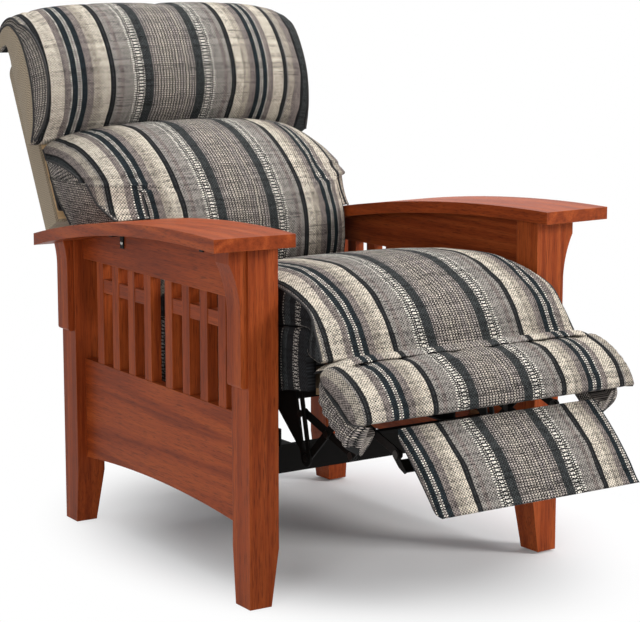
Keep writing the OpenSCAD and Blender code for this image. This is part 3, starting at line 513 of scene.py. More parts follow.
# A round cord carried along a path: each ring is radius * (cos a * side + sin a * up) about its point.
def tube(name, path, radius, sides=8):
    p = np.asarray(path, float)
    ahead = np.gradient(p, axis=0)
    ahead /= np.linalg.norm(ahead, axis=1)[:, None] + 1e-12
    ref = np.where(np.abs(ahead[:, :1]) > 0.9, [[0, 0, 1.0]], [[1.0, 0, 0]])
    side = np.cross(ahead, ref)
    side /= np.linalg.norm(side, axis=1)[:, None] + 1e-12
    up = np.cross(side, ahead)
    a = np.linspace(0, 2 * math.pi, sides, endpoint=False)[None, :, None]
    ring = p[:, None, :] + radius * (np.cos(a) * side[:, None, :] + np.sin(a) * up[:, None, :])
    quads, caps = ringFaces(len(p), sides)
    mesh = makeMesh(name, ring.reshape(-1, 3), quads.tolist() + caps, None, ["welt"])
    faceOut(mesh)
    return inScene(name, mesh)


# The CAD profile's own curve: Catmull-Rom with its end points repeated, n samples even in its parameter.
def cadCurve(points, n):
    p = np.asarray(points, float)
    m = len(p) - 1
    t = np.linspace(0, m, n)
    i = np.minimum(t.astype(int), m - 1)
    u = (t - i)[:, None]
    a, b, c, d = p[np.maximum(i - 1, 0)], p[i], p[i + 1], p[np.minimum(i + 2, m)]
    return 0.5 * (2 * b + (c - a) * u + (2 * a - 5 * b + 4 * c - d) * u ** 2 + (3 * b - a - 3 * c + d) * u ** 3)


# A slow wandering of v in metres, three sines of unlike length: about -1..1.
def wave(v, seed):
    return (np.sin(v * 61 + seed) + np.sin(v * 113 + seed * 2.3) + np.sin(v * 171 + seed * 4.1)) / 3


# A stuffed form lofted across the chair. At width share s in -1..1 the side outline is drawn towards its anchor
# line by e + (1 - e) * (1 - |s|^p)^(1/p); lean sets the anchor between the upper (0) and the lower curve (1),
# narrow takes width off the lower one. Both ends close with a panel of their own. The map's u is the length across
# the cloth from the middle, v the length along it.
def cushion(name, look):
    n, cols, deep = look["rows"], look["cols"], look["deep"]
    t = np.linspace(0, 1, n)
    top, under = cadCurve(look["top"], n), cadCurve(look["under"], n)
    half, edge = look["half"](t), look["edge"](t)
    c = np.linspace(-1, 1, cols)
    s = np.repeat(np.sin(c * math.pi / 2)[None], n, 0)
    if look["seam"] is not None:
        cs = abs(c[look["seam"]])
        at = look["seamAt"](t)[:, None]
        inside = at * np.sin(np.minimum(np.abs(c) / cs, 1) * 1.3) / math.sin(1.3)
        s = np.sign(c) * np.where(np.abs(c) <= cs, inside, at + (1 - at) * (np.abs(c) - cs) / (1 - cs))
    share = edge[:, None] + (1 - edge[:, None]) * np.clip(1 - np.abs(s) ** look["p"], 0, 1) ** (1 / look["p"])
    mid = top * (1 - look["lean"]) + under * look["lean"]
    draw = 1 - look["pull"] * np.sin(math.pi * t)
    low = share
    if look["edgeLow"] is not None:
        low = look["edgeLow"] + (1 - look["edgeLow"]) * (share - share.min()) / (1.0001 - share.min())
    upYz = mid[:, None] + (top - mid)[:, None] * share[..., None]
    lowYz = mid[:, None] + (under - mid)[:, None] * low[..., None]
    wide = look["wide"] or (lambda yz, h, r: h)
    upper = look["place"](upYz, s * (wide(upYz[:, 0], half, 0.0) * draw)[:, None])
    lower = look["place"](lowYz, s * (wide(lowYz[:, 0], half, 1.0) * draw - look["narrow"])[:, None])
    blocks, uvs, slots = [], [], []

    def clothMap(points):
        u = lengthsAlong(points, 1)
        u = (u - u[:, cols // 2][:, None]) * look["scale"] + look["shift"] / 1000
        return u, np.repeat(lengthsAlong(points[:, cols // 2], 0)[:, None], cols, 1)

    (uUp, vUp), (uLow, vLow) = clothMap(upper), clothMap(lower)
    count = n * cols
    idUp = np.arange(count).reshape(n, cols)
    idLow = idUp + count

    def patch(ids, uv, slot, flip):
        f = np.stack([ids[:-1, :-1], ids[:-1, 1:], ids[1:, 1:], ids[1:, :-1]], -1).reshape(-1, 4)
        q = np.stack([uv[:-1, :-1], uv[:-1, 1:], uv[1:, 1:], uv[1:, :-1]], -2).reshape(-1, 4, 2)
        blocks.append(f[:, ::-1] if flip else f)
        uvs.append(q[:, ::-1] if flip else q)
        slots.append(np.full(len(f), slot))

    flip = look["flip"]
    k = look["seam"] if look["seam"] is not None else 0
    patch(idUp[:, k:cols - k], np.stack([uUp, vUp], -1)[:, k:cols - k], 0, flip)
    if k:
        last = cols - k - 1
        patch(idUp[:, :k + 1], np.stack([uUp - uUp[:, k:k + 1], vUp], -1)[:, :k + 1], 1, flip)
        patch(idUp[:, last:], np.stack([uUp - uUp[:, last:last + 1], vUp], -1)[:, last:], 1, flip)
    patch(idLow, np.stack([uLow, vLow], -1), 0, not flip)
    for row in (0, n - 1):
        hem = np.stack([np.stack([uUp[row]] * 2), np.stack([vUp[row] - 0.01, vUp[row]])], -1)
        patch(np.stack([idLow[row], idUp[row]]), hem, 0, flip if row == 0 else not flip)
    verts = [upper.reshape(-1, 3), lower.reshape(-1, 3)]
    total = 2 * count
    r = np.linspace(0, 1, deep)
    panels = {}
    for end in (0, cols - 1):
        side = -1.0 if end == 0 else 1.0
        yz = upYz[:, end][:, None] * (1 - r)[None, :, None] + lowYz[:, end][:, None] * r[None, :, None]
        out = np.stack([wide(yz[:, j], half, r[j]) * draw - look["narrow"] * r[j] for j in range(deep)], 1)
        out = out + look["bulge"] * np.sin(r * math.pi)[None] * np.sin(math.pi * t)[:, None] ** 0.5
        inner = look["place"](yz, side * out)
        ids = np.empty((n, deep), int)
        ids[:, 0], ids[:, -1] = idUp[:, end], idLow[:, end]
        ids[:, 1:-1] = total + np.arange(n * (deep - 2)).reshape(n, deep - 2)
        verts.append(inner[:, 1:-1].reshape(-1, 3))
        total += n * (deep - 2)
        down = lengthsAlong(inner, 1)
        if look["panel"] == "wrap":
            uv = np.stack([side * (np.abs(uUp[:, end])[:, None] + down), np.repeat(vUp[:, :1], deep, 1)], -1)
        elif look["panel"] == "border":
            uv = np.stack([(yz[..., 0] + 64) / 1000, yz[..., 1] / 1000], -1)
        else:
            uv = np.stack([down - down[:, -1:], np.repeat(vLow[:, :1], deep, 1)], -1)
        patch(ids, uv, len(look["slots"]) - 1, flip if end else not flip)
        panels[end] = ids
    co = np.concatenate(verts)
    faces = np.concatenate(blocks).tolist()
    mesh = makeMesh(name, co, faces, np.concatenate(uvs), look["slots"], np.concatenate(slots))
    obj = inScene(name, mesh)
    seamCol = look["seam"] or 0
    soften(obj, co, look, idUp, idLow, panels, vUp, seamCol)
    co = np.empty(len(obj.data.vertices) * 3)
    obj.data.vertices.foreach_get("co", co)
    co = co.reshape(-1, 3)
    return obj, {"seamLeft": co[idUp[:, cols - 1 - seamCol]], "seamRight": co[idUp[:, seamCol]],
                 "edgeLeft": co[idUp[:, -1]], "edgeRight": co[idUp[:, 0]],
                 "lowLeft": co[idLow[:, -1]], "lowRight": co[idLow[:, 0]]}


# The cover is inflated as cloth with its seams held, then drawn in as small puckers beside them.
def soften(obj, co, look, idUp, idLow, panels, vUp, seamCol):
    n, cols = idUp.shape
    grid = co[idUp]
    normal = np.cross(np.gradient(grid, axis=1), np.gradient(grid, axis=0))
    normal /= np.linalg.norm(normal, axis=-1)[..., None] + 1e-12
    if look["flip"]:
        normal = -normal
    run = lengthsAlong(grid, 1)
    fromSeam = np.minimum(run, run[:, -1:] - run)
    if seamCol:
        stitched = np.abs(run - run[:, seamCol:seamCol + 1])
        stitched = np.minimum(stitched, np.abs(run - run[:, -1 - seamCol:run.shape[1] - seamCol]))
        fromSeam = np.minimum(fromSeam, stitched)
    fromEnds = np.minimum(lengthsAlong(grid, 0), lengthsAlong(grid[::-1], 0)[::-1])
    free = np.clip(fromSeam / 0.030, 0, 1) * np.clip(fromEnds / 0.030, 0, 1)
    t = np.linspace(0, 1, n)[:, None]
    if look["firm"] is not None:
        held = np.clip(1.6 - np.abs(t - look["firm"]) / look["firmReach"], 0, 1)
        free = free * (1 - held * (np.abs(grid[..., 0]) > look["firmFrom"] / 1000))
    work = inflate
    asCut = co.copy()
    start = co.copy()
    start[idUp] -= normal * (work["start"] / 1000) * free[..., None]
    obj.data.vertices.foreach_set("co", start.ravel())
    hold = np.ones(len(co))
    hold[idUp] = 1 - free * (1 - work["hold"])
    for ids in panels.values():
        hold[ids[2:-2, 1:-1]] = work["panelHold"]
    group = obj.vertex_groups.new(name="seams")
    steps = np.round(hold * work["steps"]).astype(int)
    for k in np.unique(steps):
        group.add(np.nonzero(steps == k)[0].tolist(), float(k) / work["steps"], "REPLACE")
    mod = obj.modifiers.new("cloth", "CLOTH")
    cloth = mod.settings
    cloth.quality = work["quality"]
    cloth.mass = work["mass"]
    cloth.tension_stiffness = cloth.compression_stiffness = work["stiff"]
    cloth.shear_stiffness = work["stiff"] / 3
    cloth.bending_stiffness = work["bend"]
    cloth.use_pressure = True
    cloth.uniform_pressure_force = work["press"]
    cloth.shrink_min = -work["loose"]
    cloth.vertex_group_mass = "seams"
    cloth.pin_stiffness = 1.0
    cloth.effector_weights.gravity = 0
    mod.collision_settings.use_collision = False
    mod.point_cache.frame_start, mod.point_cache.frame_end = 1, work["frames"]
    for f in range(1, work["frames"] + 1):
        bpy.context.scene.frame_set(f)
    inflated = obj.evaluated_get(bpy.context.evaluated_depsgraph_get())
    out = np.empty(len(co) * 3)
    inflated.to_mesh().vertices.foreach_get("co", out)
    inflated.to_mesh_clear()
    obj.modifiers.remove(mod)
    bpy.context.scene.frame_set(1)
    move = out.reshape(-1, 3) - co
    lift = (move[idUp] * normal).sum(-1)[..., None] * normal
    move[idUp] = lift
    far = np.linalg.norm(move, axis=1)[:, None] + 1e-12
    move *= np.minimum(1, work["cap"] / 1000 / far)
    co = co + np.nan_to_num(move)
    print(obj.name, "cloth moved", round(float(far.max()) * 1000, 1), "mm at most")
    seed = look["seed"]
    reach = np.exp(-fromSeam / look["puckerReach"] * 1000)
    side = np.where(np.arange(cols)[None] < cols // 2, 0.0, 1.7)
    phase = vUp * 2 * math.pi * 1000 / look["puckerPitch"] + 2.4 * wave(vUp, seed + side)
    amount = look["pucker"] / 1000 * (0.55 + 0.45 * wave(vUp * 0.6, seed * 1.7 + side))
    fade = np.clip(fromEnds / 0.02, 0, 1)
    dip = amount * (0.5 + 0.5 * np.sin(phase)) * reach * fade
    dip = dip * np.clip(fromSeam / 0.003, 0, 1)
    soft = look["dent"] / 1000 * free * (wave(grid[..., 0] * 0.22 + vUp * 0.13, seed) * wave(vUp * 0.2 + 0.3, seed * 3))
    co[idUp] -= normal * (dip + soft)[..., None]
    if look["between"]:
        narrow, limit = np.abs(asCut[:, 0]) < (look["between"] + 4) / 1000, look["between"] / 1000
        co[narrow, 0] = np.clip(co[narrow, 0], -limit, limit)
    obj.data.vertices.foreach_set("co", co.ravel())
    obj.data.update()
    sub = obj.modifiers.new("finer", "SUBSURF")
    sub.levels = sub.render_levels = 1


# Side-view millimetres and widths in millimetres to the row frame.
def plainPlace(yz, x):
    pts = rowPoints(yz)
    pts[..., 0] = x / 1000
    return pts


# The same for a piece drawn level at a hinge: y' = y cos a - z sin a, z' = y sin a + z cos a, moved to the hinge.
def turnedPlace(at, degrees):
    a = math.radians(degrees)

    def place(yz, x):
        y, z = yz[..., 0], yz[..., 1]
        out = np.stack([at[0] + y * math.cos(a) - z * math.sin(a), at[1] + y * math.sin(a) + z * math.cos(a)], -1)
        return plainPlace(out, x)
    return place


backPlace = turnedPlace((600, 345), -26.5)
bolsterPlace = turnedPlace((-121, 423), 31.3)
footPlace = turnedPlace((-225.726, 296.693), 45.5)
padZ = 16.9
inflate = {"start": 5, "hold": 0.05, "panelHold": 0.2, "stiff": 22, "bend": 0.5, "press": 3.0, "loose": 0.012,
           "cap": 12, "frames": 20, "steps": 12, "quality": 5, "mass": 0.25}
common = {"p": 2.7, "lean": 0.5, "narrow": 0.0, "deep": 9, "flip": False, "panel": "wrap", "slots": ["cloth", "cloth"],
          "pull": 0.0, "bulge": 3.0, "scale": 1.0, "shift": 0.0, "edgeLow": None, "wide": None, "seam": None,
          "firm": None, "firmReach": 0.035, "firmFrom": 185, "between": None, "pucker": 2.6, "puckerPitch": 15.0,
          "puckerReach": 11.0, "dent": 1.6}


def steady(value):
    return lambda t: np.full(len(t), float(value))


seatLook = dict(common, rows=90, cols=111, seed=1.0, pull=0.02, p=3.2, pucker=3.4, edgeLow=1.0, bulge=2.0,
    slots=["cloth", "border"], panel="border", scale=0.975, shift=-15.6,
    top=[(-117, 439), (-100, 484), (-60, 522), (0, 554), (70, 564), (200, 552), (340, 522), (430, 490), (488, 452)],
    under=[(-112, 434), (-66, 446), (-61, 484.5), (60, 471.8), (170, 460), (300, 446), (400, 435.2), (470, 427.8),
           (484, 432)],
    half=lambda t: 268 - 28 * t, edge=steady(0.55), place=plainPlace)
bolsterLook = dict(common, rows=56, cols=111, seed=2.0, flip=True, lean=1.0, pucker=2.0, scale=0.98, shift=8.8,
    top=[(-8, 9), (-20, 38), (-50, 53), (-88, 57), (-120, 52), (-141, 37), (-149, 21)],
    under=[(-13, 0), (-24, -7), (-52, -10), (-84, -10), (-108, -9.5), (-128, 0), (-146, 15)],
    half=lambda t: 280 + 4 * t, edge=steady(0.74), bulge=9.0, place=bolsterPlace)
footLook = dict(common, rows=56, cols=91, seed=3.0, flip=True, lean=0.36, pucker=0.8, puckerReach=6.0, dent=1.0,
    bulge=0.5,
    top=[(22, padZ + 29), (14, padZ + 36), (-16, padZ + 43), (-62, padZ + 45), (-108, padZ + 42), (-138, padZ + 35),
         (-149, padZ + 29)],
    under=[(20, padZ + 24), (4, padZ + 3), (-20, padZ), (-62, padZ), (-104, padZ), (-127, padZ + 3), (-146, padZ + 24)],
    half=steady(206), edge=steady(0.30), place=footPlace)
# The lumbar cushion is as wide as the back above this line, which stays over the arms' tops through the travel
armLine = {"y": [-260, -240, -210, -180, -150, -120, -90, -60, -30, 0, 46],
           "z": [196, 206, 222, 237, 252, 267, 281, 295, 300, 296, 290],
           "between": 221.3, "over": 74.7, "margin": 11, "step": 8}


# Half the width. The front keeps its own; towards the rear (r = 1) it is "between" up to a margin above the arm
# line, and wider by "over" from one step higher, with a smooth step (3k^2 - 2k^3) between.
def overArms(yz, half, r):
    line = np.interp(yz[:, 0], armLine["y"], armLine["z"])
    rise = np.clip((yz[:, 1] - line - armLine["margin"]) / armLine["step"], 0, 1)
    rear = armLine["between"] + armLine["over"] * rise * rise * (3 - 2 * rise)
    k = min(1.0, r * 2.2)
    return half + (rear - half) * k * k * (3 - 2 * k)


# Along the cushion's front: 0 where it sits between the arms, 1 where it lies over them.
def lumbarStep(t, start=0.478, end=0.498):
    return np.clip((t - start) / (end - start), 0, 1)


# How full the ends are: boxy between the arms, half as deep over them, and running out at the top.
def lumbarEdge(t):
    low = 0.86 - 0.33 * lumbarStep(t)
    return np.where(t < 0.571, low, np.clip(0.53 - (t - 0.571) * 1.62, 0.08, 0.53))


def lumbarHalf(t):
    return armLine["between"] + armLine["over"] * lumbarStep(t)


lumbarLook = dict(common, rows=120, cols=121, seed=4.0, lean=1.0, narrow=7.0, panel="gusset", wide=overArms,
    slots=["cloth", "zigzag"], pucker=2.6, bulge=3.0, scale=0.98, shift=20.0,
    top=[(4, 56), (-136, 88), (-192, 146), (-204, 218), (-184, 300), (-140, 380), (-84, 438), (-30, 458)],
    under=[(45.6, 62), (45.6, 190), (45.6, 304), (45.6, 346), (45.6, 376), (45.6, 406), (44, 432)],
    half=lumbarHalf, edge=lumbarEdge, p=2.3, firm=0.488, between=221.6, place=backPlace)
headLook = dict(common, rows=90, cols=121, seed=5.0, lean=1.0, panel="gusset", pull=0.01,
    slots=["cloth", "zigzag", "tan"], pucker=2.4, seam=12, scale=0.954, shift=34.0,
    seamAt=lambda t: 1 - 0.012 - 0.045 * np.sin(math.pi * np.clip(t / 0.62, 0, 1)) ** 0.8,
    top=[(10, 447), (-52, 470), (-94, 530), (-100, 600), (-78, 672), (-22, 728), (50, 728), (88, 667)],
    under=[(45, 446), (45.6, 520), (45.6, 600), (43, 641), (48, 664), (84, 664)],
    half=steady(322), edge=steady(0.48), place=backPlace)
cushionWork = {
    "seatCushion": (seatLook, "seat", ["seat_cushion"], 0.8),
    "bolsterCushion": (bolsterLook, "front_panel", ["front_bolster"], 0.7),
    "footrestPad": (footLook, "footrest", ["footrest_cushion"], 0.7),
    "lumbarCushion": (lumbarLook, "back", ["lumbar_cushion"], 0.8),
    "headCushion": (headLook, "back", ["head_cushion"], 0.75),
}
seams = {}
for name, (look, body, stands, fill) in cushionWork.items():
    obj, seams[name] = cushion(name, look)
    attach(obj, body)
    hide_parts(*stands)
print("cushions made")


def cord(name, path, radius, body):
    obj = tube(name, path, radius)
    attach(obj, body)
    return obj


# A corded welt lies in each seam of the back cushions and the seat
weltWork = (("headCushion", "back", 0.0024, ("seamLeft", "seamRight", "edgeLeft", "edgeRight")),
            ("lumbarCushion", "back", 0.0022, ("edgeLeft", "edgeRight", "lowLeft", "lowRight")),
            ("seatCushion", "seat", 0.0018, ("seamLeft", "seamRight")),
            ("bolsterCushion", "front_panel", 0.0018, ("lowLeft", "lowRight")))
for name, body, radius, keys in weltWork:
    for key in keys:
        cord(name + key[0].upper() + key[1:] + "Cord", seams[name][key], radius, body)
print("cords made")


# Hinge cover

coverLook = {"path": [(-98, 433), (-110, 436), (-121, 438.5), (-134, 443), (-147, 447.5), (-158, 449), (-171, 443)],
             "half": 272, "rows": 22, "cols": 81, "thick": 0.0016, "dip": 16, "sway": 0.5, "scale": 0.98, "shift": 8.8,
             "from": (-117, 440), "to": (-142, 438)}


# The cover runs on from the seat's front to the bolster, over the hinge between them: a curve carried across the
# chair, its ends dropped by dip * |x|^14, with a second face one thickness below.
def hingeCover(look):
    rows, cols = look["rows"], look["cols"]
    path = cadCurve(look["path"], rows)
    x = np.linspace(-1, 1, cols) * look["half"]
    yz = np.repeat(path[:, None], cols, 1)
    yz[..., 1] -= (look["dip"] * (np.abs(x) / look["half"]) ** 14)[None] + look["sway"] * wave(x / 500, 2.0)[None]
    upper = plainPlace(yz, np.repeat(x[None], rows, 0))
    lower = upper.copy()
    lower[..., 2] -= look["thick"]
    count = rows * cols
    ids = np.arange(count).reshape(rows, cols)
    edge = np.concatenate([ids[0], ids[1:, -1], ids[-1, :-1][::-1], ids[1:-1, 0][::-1]])
    rim = np.stack([edge, np.roll(edge, -1), np.roll(edge, -1) + count, edge + count], 1)
    top = gridFaces(rows, cols)
    faces = np.concatenate([top, top[:, ::-1] + count, rim])
    uv = np.stack([np.repeat((x[None] * look["scale"] + look["shift"]) / 1000, rows, 0),
                   np.repeat(lengthsAlong(path, 0)[:, None] / 1000, cols, 1)], -1)
    uv = np.concatenate([uv.reshape(-1, 2)] * 2)
    verts = np.concatenate([upper.reshape(-1, 3), lower.reshape(-1, 3)])
    mesh = makeMesh("hingeCover", verts, faces.tolist(), uv[faces], ["cloth"])
    faceOut(mesh)
    cover = inScene("hingeCover", mesh)
    start, end = (tuple(rowPoints([look[key]])[0]) for key in ("from", "to"))
    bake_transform(cover)


hingeCover(coverLook)


# Seat border, legrest skirts and the lumbar cushion's lower corners

# A closed cloth piece from rings of points: ring after ring along it, each ring closed, both ends capped.
def bag(name, rings, uv, slots, body, stands, faceSlot=None):
    n, m = rings.shape[:2]
    quads, caps = ringFaces(n, m)
    closed = np.concatenate([uv, uv[:, :1]], 1)
    a, b = np.meshgrid(np.arange(n - 1), np.arange(m), indexing="ij")
    quadUv = np.stack([closed[a, b], closed[a + 1, b], closed[a + 1, b + 1], closed[a, b + 1]], -2).reshape(-1, 2)
    verts = rings.reshape(-1, 3)
    slotOf = None if faceSlot is None else np.concatenate([faceSlot(verts[quads].mean(1)), [0, 0]])
    mesh = makeMesh(name, verts, quads.tolist() + caps, np.concatenate([quadUv, uv[0], uv[-1][::-1]]), slots, slotOf)
    faceOut(mesh)
    obj = inScene(name, mesh)
    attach(obj, body)
    if stands:
        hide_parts(*stands)
    return obj


boxLook = {"half": 244.9, "columns": 25, "y": [-60, -54, 60, 200, 350, 500, 505], "frameY": (-60, 500),
           "top": ([-60, -54, 500, 505], [478, 483.9, 423.9, 418]), "frameTop": 420, "frameFrom": -88, "slope": 6.2,
           "clear": 4.2}


# The padded box under the seat cushion: rectangular rings along y, from the seat frame up to the cushion.
def seatBox(look):
    rings = []
    for y in look["y"]:
        along = np.clip(y, *look["frameY"]) - look["frameFrom"]
        low = look["frameTop"] - along * math.tan(math.radians(look["slope"])) + look["clear"]
        x = np.linspace(-look["half"], look["half"], look["columns"])
        rings.append([(a, y, np.interp(y, *look["top"])) for a in x] + [(a, y, low) for a in x[::-1]])
    rings = np.array(rings)
    rings = plainPlace(rings[..., 1:], rings[..., 0])
    bag("seatBoxCover", rings, np.stack([rings[..., 0], rings[..., 1]], -1), ["cambric"], "seat", ["seat_box"])


borderLook = {"bulge": 4.5, "inner": 245.2, "face": 258.0, "sway": 0.35, "seed": 3.3, "y": (-64, 529.5, 90),
              "columns": 21, "top": ([-64, -54, 500, 530], [476, 483.5, 423.5, 380]),
              "low": ([-64, 0, 120, 213, 530], [379, 371, 345, 320, 300])}


# A padded border on the seat's side: its face swells by bulge * sin(pi r)^0.6 from top (r = 0) to bottom.
def seatBorder(look, side, sign):
    columns = look["columns"]
    y = np.repeat(np.linspace(*look["y"])[:, None], columns, 1)
    top, low = np.interp(y, *look["top"]), np.interp(y, *look["low"])
    r = np.linspace(0, 1, columns)
    sway = 1 + look["sway"] * wave(y / 1000 + r * 0.02, look["seed"])
    face = look["face"] + look["bulge"] * np.sin(math.pi * r)[None] ** 0.6 * sway
    face = np.where(r[None] < 0.08, face - (0.08 - r[None]) * 30, face)
    x = np.concatenate([face, np.full((len(y), 2), look["inner"])], 1) * sign
    z = np.concatenate([top * (1 - r) + low * r, low[:, :1], top[:, :1]], 1)
    y = np.repeat(y[:, :1], z.shape[1], 1)
    rings = plainPlace(np.stack([y, z], -1), x)
    uv = np.stack([(y + 64) / 1000, z / 1000], -1)
    if sign > 0:
        rings, uv = rings[:, ::-1], uv[:, ::-1]
    bag("seatBorder" + side, rings, uv, ["border"], "seat", ["seat_side_panels"] if sign > 0 else [])


skirtLook = {"outer": 274.0, "inner": 230.8, "middle": 249.0, "shelfX": 267.0, "shelfZ": -26.4, "bulge": 11.0,
             "columns": 0.078, "front": -8, "length": 125.5, "rows": 46, "ripple": 0.25,
             "low": [(-8, -31), (-34, -52), (-93, -66), (-134, -68)],
             "top": ([8, 108, 120, 130, 134], [-11.2, -12.6, -8.2, -2.6, -6]),
             "tip": (-134.0, -68.0, 250.0), "gather": 0.021}


# A cloth end under the bolster: the outer face swells and rounds in at the bottom and towards the front.
def bolsterSkirt(look, side, sign):
    y = look["front"] - look["length"] * np.sin(np.linspace(0, 1, look["rows"]) * math.pi / 2)
    lowLine = cadCurve(look["low"], 60)
    low = np.interp(-y, -lowLine[:, 0], lowLine[:, 1])
    top = np.interp(-y, *look["top"])
    r = np.linspace(0, 1, 25)
    drop = top[:, None] * (1 - r) + low[:, None] * r
    run = (y[:, None] + 8) / -126
    swell = look["bulge"] * np.sin(math.pi * np.clip(r, 0, 1))[None] ** 0.8 * np.clip(4 * run, 0, 1)
    swell = swell * (1 + look["ripple"] * np.sin(run * 34 + r[None] * 3))
    close = np.sqrt(np.clip(1 - np.clip((run - 0.90) / 0.10, 0, 1) ** 2, 0.02, 1))
    hem = np.sqrt(np.clip(1 - (np.clip(r - 0.55, 0, 1) / 0.45) ** 2, 0, 1))[None]
    middle = look["middle"]
    outer = middle + (look["outer"] - middle + swell) * hem * close
    inner = middle - (middle - look["inner"]) * hem * close
    shelf = middle + (look["shelfX"] - middle) * close
    x = np.concatenate([outer, inner[:, ::-1], shelf, shelf], 1)
    under = np.minimum(drop, look["shelfZ"])[:, ::-1]
    z = np.concatenate([drop, under, np.full((len(y), 1), look["shelfZ"]), top[:, None] + 0.2], 1)
    y = np.repeat(y[:, None], x.shape[1], 1)
    rings = bolsterPlace(np.stack([y, z], -1), x * sign)
    share = np.concatenate([r, 2 - r[::-1], [2.0, 2.0]])[None] * np.ones((len(y), 1))
    uv = np.stack([share * look["columns"], -y / 1000], -1)
    if sign > 0:
        rings, uv = rings[:, ::-1], uv[:, ::-1]
    tip = bolsterPlace(np.array([look["tip"][:2]]), np.array([look["tip"][2:]]))[0]
    bag("bolsterSkirt" + side, rings, uv, ["zigzag", "cambric"], "front_panel", ["bolster_skirts"] if sign > 0 else [],
        lambda c: (np.hypot(c[:, 1] - tip[1], c[:, 2] - tip[2]) < look["gather"]).astype(int))


cornerLook = {
    "inner": 196.0, "top": 664.0, "lift": 1.0, "power": 1.5, "anchor": 658.0, "rows": 22, "bulge": 5,
    "welt": 0.0022, "shift": 0.020,
    "armTop": ([480, 510, 540, 570, 600, 630, 660, 690, 720, 820],
               [610.4, 606.1, 601.6, 596.6, 591.4, 585.9, 580.2, 574.1, 574, 580]),
    "Right": {"frontIn": (535, 562), "seamX": (284, 291, 296), "seamY": (552, 612, 645),
              "rearX": (284, 289, 293), "rearY": (738, 780, 804)},
    "Left": {"frontIn": (536, 565), "seamX": (260, 280, 290), "seamY": (574, 628, 655),
             "rearX": (262, 278, 288), "rearY": (738, 780, 804)}}


# The lumbar cushion's lower corner rests on the arm. It is a stack of closed rings, each a superelliptic front out to
# the seam, the side back to the rear welt and a hidden inner side.
def lumbarCorner(look, side, sign):
    k = np.linspace(0, 1, look["rows"])[:, None]
    level, own = [0, 0.5, 1], look[side]
    seamX, seamY, rearX, rearY = (np.interp(k, level, own[key]) for key in ("seamX", "seamY", "rearX", "rearY"))
    frontIn = np.interp(k, [0, 1], own["frontIn"])
    a = np.linspace(0, math.pi / 2, 20)[None]
    frontX = look["inner"] + (seamX - look["inner"]) * np.sin(a) ** (2 / look["power"])
    frontY = frontIn + (seamY - frontIn) * (1 - np.cos(a) ** (2 / look["power"]))
    r = np.linspace(0, 1, 16)[None, 1:]
    back = r[:, ::3][:, :-1]
    sideX = seamX + (rearX - seamX) * r + look["bulge"] * np.sin(math.pi * r)
    x = np.concatenate([frontX, sideX, np.full((len(k), back.size), look["inner"])], 1)
    y = np.concatenate([frontY, seamY + (rearY - seamY) * r, rearY + (frontIn - rearY) * back], 1)
    z = (np.interp(y, *look["armTop"]) + look["lift"]) * (1 - k) + look["top"] * k
    seamAt, weltAt = 19, 34
    run = np.concatenate([np.zeros((len(k), 1)), np.cumsum(np.hypot(np.diff(x, axis=1), np.diff(y, axis=1)), 1)], 1)
    u = sign * (look["inner"] - 2 + run) * 0.98 / 1000 + look["shift"]
    u = np.where(np.arange(x.shape[1])[None] > seamAt, (run - run[:, weltAt:weltAt + 1]) / 1000, u)
    rings, uv = plainPlace(np.stack([y, z], -1), x * sign), np.stack([u, z / 1000], -1)
    seam, welt = rings[:, seamAt].copy(), rings[:, weltAt].copy()
    if sign > 0:
        rings, uv = rings[:, ::-1], uv[:, ::-1]

    def behindSeam(c):
        seamY = np.interp(c[:, 2] * 1000 - frameShift["z"], [603, 632, 664], own["seamY"])
        return (c[:, 1] * 1000 + frameShift["y"] > seamY + 1).astype(int)

    name = "lumbarCorner" + side
    anchor = tuple(rowPoints([[640, look["anchor"]]])[0])
    for piece in (bag(name, rings, uv, ["cloth", "zigzag"], "back", [], behindSeam),
                  cord(name + "Seam", seam, look["welt"], "back"), cord(name + "Welt", welt, look["welt"], "back")):
        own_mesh(piece)


seatBox(boxLook)
for make, look in ((seatBorder, borderLook), (bolsterSkirt, skirtLook), (lumbarCorner, cornerLook)):
    for side, sign in (("Left", 1), ("Right", -1)):
        make(look, side, sign)
print("seat border, skirts and corners made")

# Floor, light and camera

# middle, narrower, clearFrom and clearTo place the ellipse outside which the floor glows white over the lamps' shadow:
# painted light
stageLook = {"floor": (0.78, 0.785, 0.80), "lift": 0.03, "worldLight": 0.30, "worldTint": (0.97, 0.98, 1.0),
             "middle": (0.12, 0.06), "narrower": 1.25, "clearFrom": 0.34, "clearTo": 0.74, "half": 30}


# 1 for the camera's own rays and for those that a shiny or clear surface sends on.
def seenOrMirrored(g):
    path = g.add("ShaderNodeLightPath").outputs
    straight = g.math("MAXIMUM", path["Is Camera Ray"], path["Is Glossy Ray"])
    return g.math("MAXIMUM", straight, path["Is Transmission Ray"])


def glow(g, kind, colour, strength):
    node = g.add(kind)
    node.inputs["Color"].default_value = rgba(colour)
    g.value(node.inputs["Strength"], strength)
    return node.outputs[0]


def join(g, fac, a, b):
    node = g.add("ShaderNodeMixShader")
    for socket, v in zip(node.inputs, (fac, a, b)):
        g.link(v, socket)
    return node.outputs[0]
